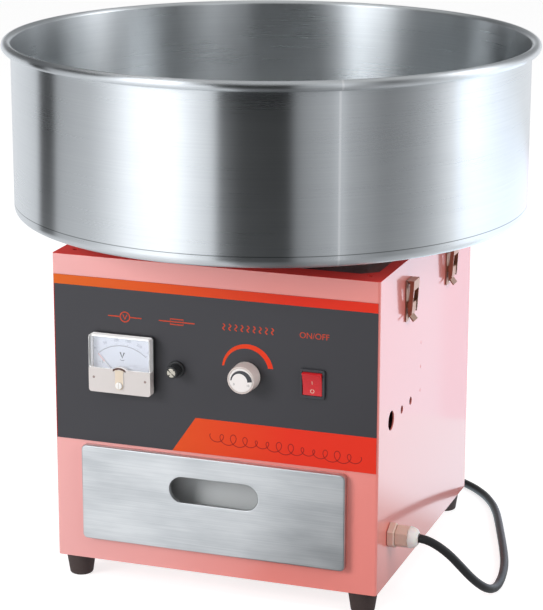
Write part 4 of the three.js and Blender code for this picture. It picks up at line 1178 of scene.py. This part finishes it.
# Spinning head
# A cast aluminium pan on the shaft carries the ring heater, the slotted stainless band that the
# melted sugar leaves through, and a lid with the sugar mouth.
# Turned aluminium keeps fine tool lines; the heater's steel sheath has browned with the heat
head_aluminium = grained("turned_aluminium", "b3b6b8", 0.32, 0.5, 0.006, 0.06, stretch=(1, 1, 6),
                         Metallic=1)
heater_sheath = grained("heater_sheath", "6e625c", 0.45, 1.2, 0.03, 0.1, Metallic=0.8)
turned_piece("head_pan_cast", "head_pan", head_aluminium, [
    (6.3, 373, 0), (76, 373, 0.8), (76, 376, 0.6), (72.7, 376, 0.2), (72.7, 384, 0.4),
    (71.2, 384, 0.4), (71.2, 376, 0.8), (14, 376, 2), (14, 394, 1), (6.3, 394, 0),
])
turned_piece("heater_coil", "heater_ring", heater_sheath, [
    (58, 376.3, 2.4), (66, 376.3, 2.4), (66, 382.3, 2.4), (58, 382.3, 2.4),
], sides=96)
cad_piece("head_band", "mesh_band", rolled_stainless, 0, crease=20)
turned_piece("head_lid_spun", "head_lid", head_aluminium, [
    (30, 430.6, 1.2), (76, 430.6, 0.5), (76, 432.1, 0.6), (31.5, 432.1, 2), (31.5, 446.6, 0.4),
    (30, 446.6, 0.4),
])

# Side latches
# Draw latches pressed from zinc plated steel, two on each side: a riveted plate with ears, a
# lever with a flared tab, and a loop whose claw would hook a hood.
# The zinc plate is painted a dull bronze: a painted reflection of the pink enamel round it;
# the rivets' heads are bright steel
zinc_plate = grained("yellowed_zinc_plate", "b8917b", 0.38, 1.2, 0.02, 0.06, Metallic=1)
rivet_steel = finish("rivet_steel", "d8d2c8", 0.25, Metallic=1)
latch_height, latch_row = 284, 72
for place, side, end in (
    ("right_front", 1, -1), ("right_rear", 1, 1), ("left_front", -1, -1), ("left_rear", -1, 1),
):
    latch_place = on_face((side, 0, 0), (side * half_cabinet, end * latch_row, latch_height))
    plate_parts = [(from_cad(f"latch_plate_{place}", 0.2), zinc_plate)]
    for up in (-13.5, 19.5):
        rivet = turned([(0, 1.2, 0), (2, 1.2, 0.1), (1.7, 1.9, 0.5), (0, 2.05, 0)], sides=24)
        rivet.transform(latch_place @ Matrix.Translation((0, up, 0)))
        plate_parts.append((rivet, rivet_steel))
    piece(f"plate_{place}", plate_parts, f"latch_plate_{place}")
    for part in ("lever", "loop"):
        cad_piece(f"{part}_{place}", f"latch_{part}_{place}", zinc_plate, 0.25, crease=50)

# Studio
# A white floor without an edge, a pale world, soft boxes round the machine and the dark and
# pale screens that its steel mirrors.


def stage_object(name, shape, material, mirrored_only=False):
    """Something of the studio; it can be there for mirrors alone"""
    mesh = bpy.data.meshes.new(name)
    shape.to_mesh(mesh)
    shape.free()
    mesh.materials.append(material)
    made = bpy.data.objects.new(name, mesh)
    bpy.context.scene.collection.objects.link(made)
    if mirrored_only:
        made.visible_camera = made.visible_diffuse = False
        made.visible_shadow = made.visible_transmission = False
    return made


def seen_directly(tree):
    """1 for a ray from the camera, a mirror or glass, and 0 for the light that falls on things"""
    path = add_node(tree, "LightPath").outputs
    straight = add_node(tree, "Math", {
        0: path["Is Camera Ray"], 1: path["Is Glossy Ray"],
    }, operation="MAXIMUM")
    return add_node(tree, "Math", {
        0: straight, 1: path["Is Transmission Ray"],
    }, operation="MAXIMUM")


white_floor = finish("white_floor", "b8b8b8", 0.9)
floor_tree = white_floor.node_tree
floor_shader = floor_tree.nodes["Principled BSDF"]
floor_sum = add_node(floor_tree, "AddShader", {
    0: floor_shader, 1: add_node(floor_tree, "Emission", {"Strength": 0.78}),
})
floor_mix = add_node(floor_tree, "MixShader", {
    "Fac": seen_directly(floor_tree), 1: floor_shader, 2: floor_sum,
})
wire(floor_tree, floor_mix, floor_tree.nodes["Material Output"].inputs["Surface"])
floor_size = 30
floor_shape = bmesh.new()
bmesh.ops.create_grid(floor_shape, x_segments=1, y_segments=1, size=floor_size / 2)
stage_object("floor", floor_shape, white_floor)

# The screens stand round the machine and lie on the floor. Each stop is a direction in degrees
# from the camera's side, positive to its right, and how bright the screen is there. The low
# set is what the bowl's outside mirrors, the high set its inside, and the near set lies round
# the cabinet's foot
low_stops = [
    (-180, 0.9), (-130, 0.88), (-117, 0.78), (-114, 0.03), (-104, 0.03), (-101, 0.5), (-80, 0.75),
    (-62, 1.35), (-34, 1.35), (-23, 1.1), (-20.5, 0), (8, 0), (9.5, 0.3), (26, 0.48),
    (28, 0.95), (30, 0.45), (46, 0.27), (58, 0.3), (68, 0.5), (80, 0.9), (91, 1.25),
    (102, 1.12), (116, 1.02), (132, 0.98), (150, 0.9), (180, 0.9),
]
high_stops = [
    (-180, 0.3), (-140, 0.1), (-112, 0.2), (-96, 0), (-75, 0), (-66, 0.9), (-58, 2.7),
    (-43, 3.4), (-34, 0.9), (-26, 0.1), (-20, 0), (8, 0), (14, 0.4), (30, 0.9), (41, 0.35),
    (50, 0), (60, 0.3), (70, 0.5), (76, 0.9), (84, 1.5), (90, 2.9), (97, 2.9), (104, 1.6),
    (114, 1.0), (124, 0.4), (150, 0.3), (180, 0.3),
]
steel_blue, lilac = (0.96, 0.99, 1.03), (0.85, 1.0, 1.09)
near_stops = [
    (-180, 0.8), (-120, 0.8), (-62, 0.85), (-46, 0.85), (-38, 0.95), (-29, 0.7), (-18, 0.75),
    (-13, 0.25), (8, 0.15), (20, 0.3), (46, 0.45), (64, 0.6), (80, 0.75), (96, 0.85),
    (109, 1.5, lilac), (145, 1.5, lilac), (180, 0.8),
]
screen = bpy.data.materials.new("studio_screens")
screen.use_nodes = True
screen_tree = screen.node_tree
screen_tree.nodes.clear()
screen_place = add_node(screen_tree, "TexCoord").outputs["Object"]
screen_axes = add_node(screen_tree, "SeparateXYZ", {"Vector": screen_place}).outputs
screen_angle = add_node(screen_tree, "Math", {
    0: screen_axes["Y"], 1: screen_axes["X"],
}, operation="ARCTAN2")
screen_share = add_node(screen_tree, "MapRange", {
    "Value": screen_angle, "From Min": -math.pi, "From Max": math.pi,
})
screen_tones = []
for stops in (near_stops, low_stops, high_stops):
    screen_tones.append(add_node(screen_tree, "ValToRGB", {"Fac": screen_share}))
    ramp = screen_tones[-1].color_ramp
    ramp.elements.remove(ramp.elements[1])
    for angle, tone, *tint in stops:
        stop = ramp.elements[0] if angle == -180 else ramp.elements.new((angle + 180) / 360)
        stop.position = (angle + 180) / 360
        stop.color = (*(tone * part for part in (tint or [steel_blue])[0]), 1)

# The near set gives way to the low set outwards, that to the high set upwards, and a grey canopy
# closes the screens above, so the rolled rim keeps dark lines
screen_reach = add_node(screen_tree, "VectorMath", {0: screen_place}, operation="LENGTH")
canopy_grey = (0.58, 0.59, 0.6, 1)
screen_tone, low_tone, high_tone = screen_tones
for measure, start, end, following in (
    (screen_reach.outputs["Value"], 0.75, 1.25, low_tone),
    (screen_axes["Z"], 0.6, 0.9, high_tone), (screen_axes["Z"], 2.2, 3.2, canopy_grey),
):
    share = add_node(screen_tree, "MapRange", {
        "Value": measure, "From Min": start, "From Max": end,
    })
    screen_tone = add_node(screen_tree, "MixRGB", {
        "Fac": share, "Color1": screen_tone, "Color2": following,
    })
screen_glow = add_node(screen_tree, "Emission", {"Color": screen_tone, "Strength": 1.0})
wire(screen_tree, screen_glow, add_node(screen_tree, "OutputMaterial").inputs["Surface"])
screen_profile = [(0.02, 0.002), (1.0, 0.002), (1.9, 0.002), (2.3, 0.15), (2.5, 0.6), (2.6, 2.2),
                  (2.4, 3.4), (1.4, 4.0), (0.02, 4.1)]
screen_shape = skinned([level_ring(r, h, 128) for r, h in screen_profile], ends=False)
screens = stage_object("studio_screens", screen_shape, screen, mirrored_only=True)
# The ramp's zero lies opposite the camera's side, so the screens are turned to it
screens.rotation_euler.z = camera_yaw - math.pi / 2

# Two cards stand behind the machine on its right, for the cabinet's side to mirror: a narrow
# rose one and a wide lilac one
card_place, card_height = 0.44, 0.33
for name, low, high, tint, glow in (
    ("rose_card", 0.17, 0.266, (1.05, 1.0, 1.16), 1.23),
    ("lilac_card", 0.266, 2.4, (0.9, 1.0, 1.14), 1.46),
):
    card_shape = bmesh.new()
    card_shape.faces.new([
        card_shape.verts.new((x, card_place, z))
        for x, z in ((low, 0), (high, 0), (high, card_height), (low, card_height))
    ])
    stage_object(name, card_shape, finish(
        name, "000000", 1, Specular_IOR_Level=0, Emission_Color=(*tint, 1), Emission_Strength=glow,
    ), mirrored_only=True)

for name, place, size, power in (
    ("key_box", (-1.35, -1.6, 0.95), 0.9, 31),
    ("camera_box", (0.3, -2.4, 0.5), 1.0, 2.5),
    ("right_box", (2.2, -0.6, 1.5), 1.4, 31.5),
    ("top_box", (-0.1, -0.3, 2.4), 1.8, 20),
):
    lamp_data = bpy.data.lights.new(name, "AREA")
    lamp_data.shape = "SQUARE"
    lamp_data.size = size
    lamp_data.energy = power
    lamp = bpy.data.objects.new(name, lamp_data)
    bpy.context.scene.collection.objects.link(lamp)
    lamp.location = place
    lamp.rotation_euler = (Vector((0, 0, 0.25)) - Vector(place)).to_track_quat("-Z", "Y").to_euler()
    lamp.visible_glossy = False

world = bpy.data.worlds.new("studio")
bpy.context.scene.world = world
world.use_nodes = True
world_tree = world.node_tree
world_back = world_tree.nodes["Background"]
world_back.inputs["Color"].default_value = (1, 1, 1, 1)
world_level = add_node(world_tree, "MapRange", {
    "Value": seen_directly(world_tree), "To Min": 0.24, "To Max": 1.0,
})
wire(world_tree, world_level, world_back.inputs["Strength"])
bpy.context.scene.view_settings.view_transform = "Standard"
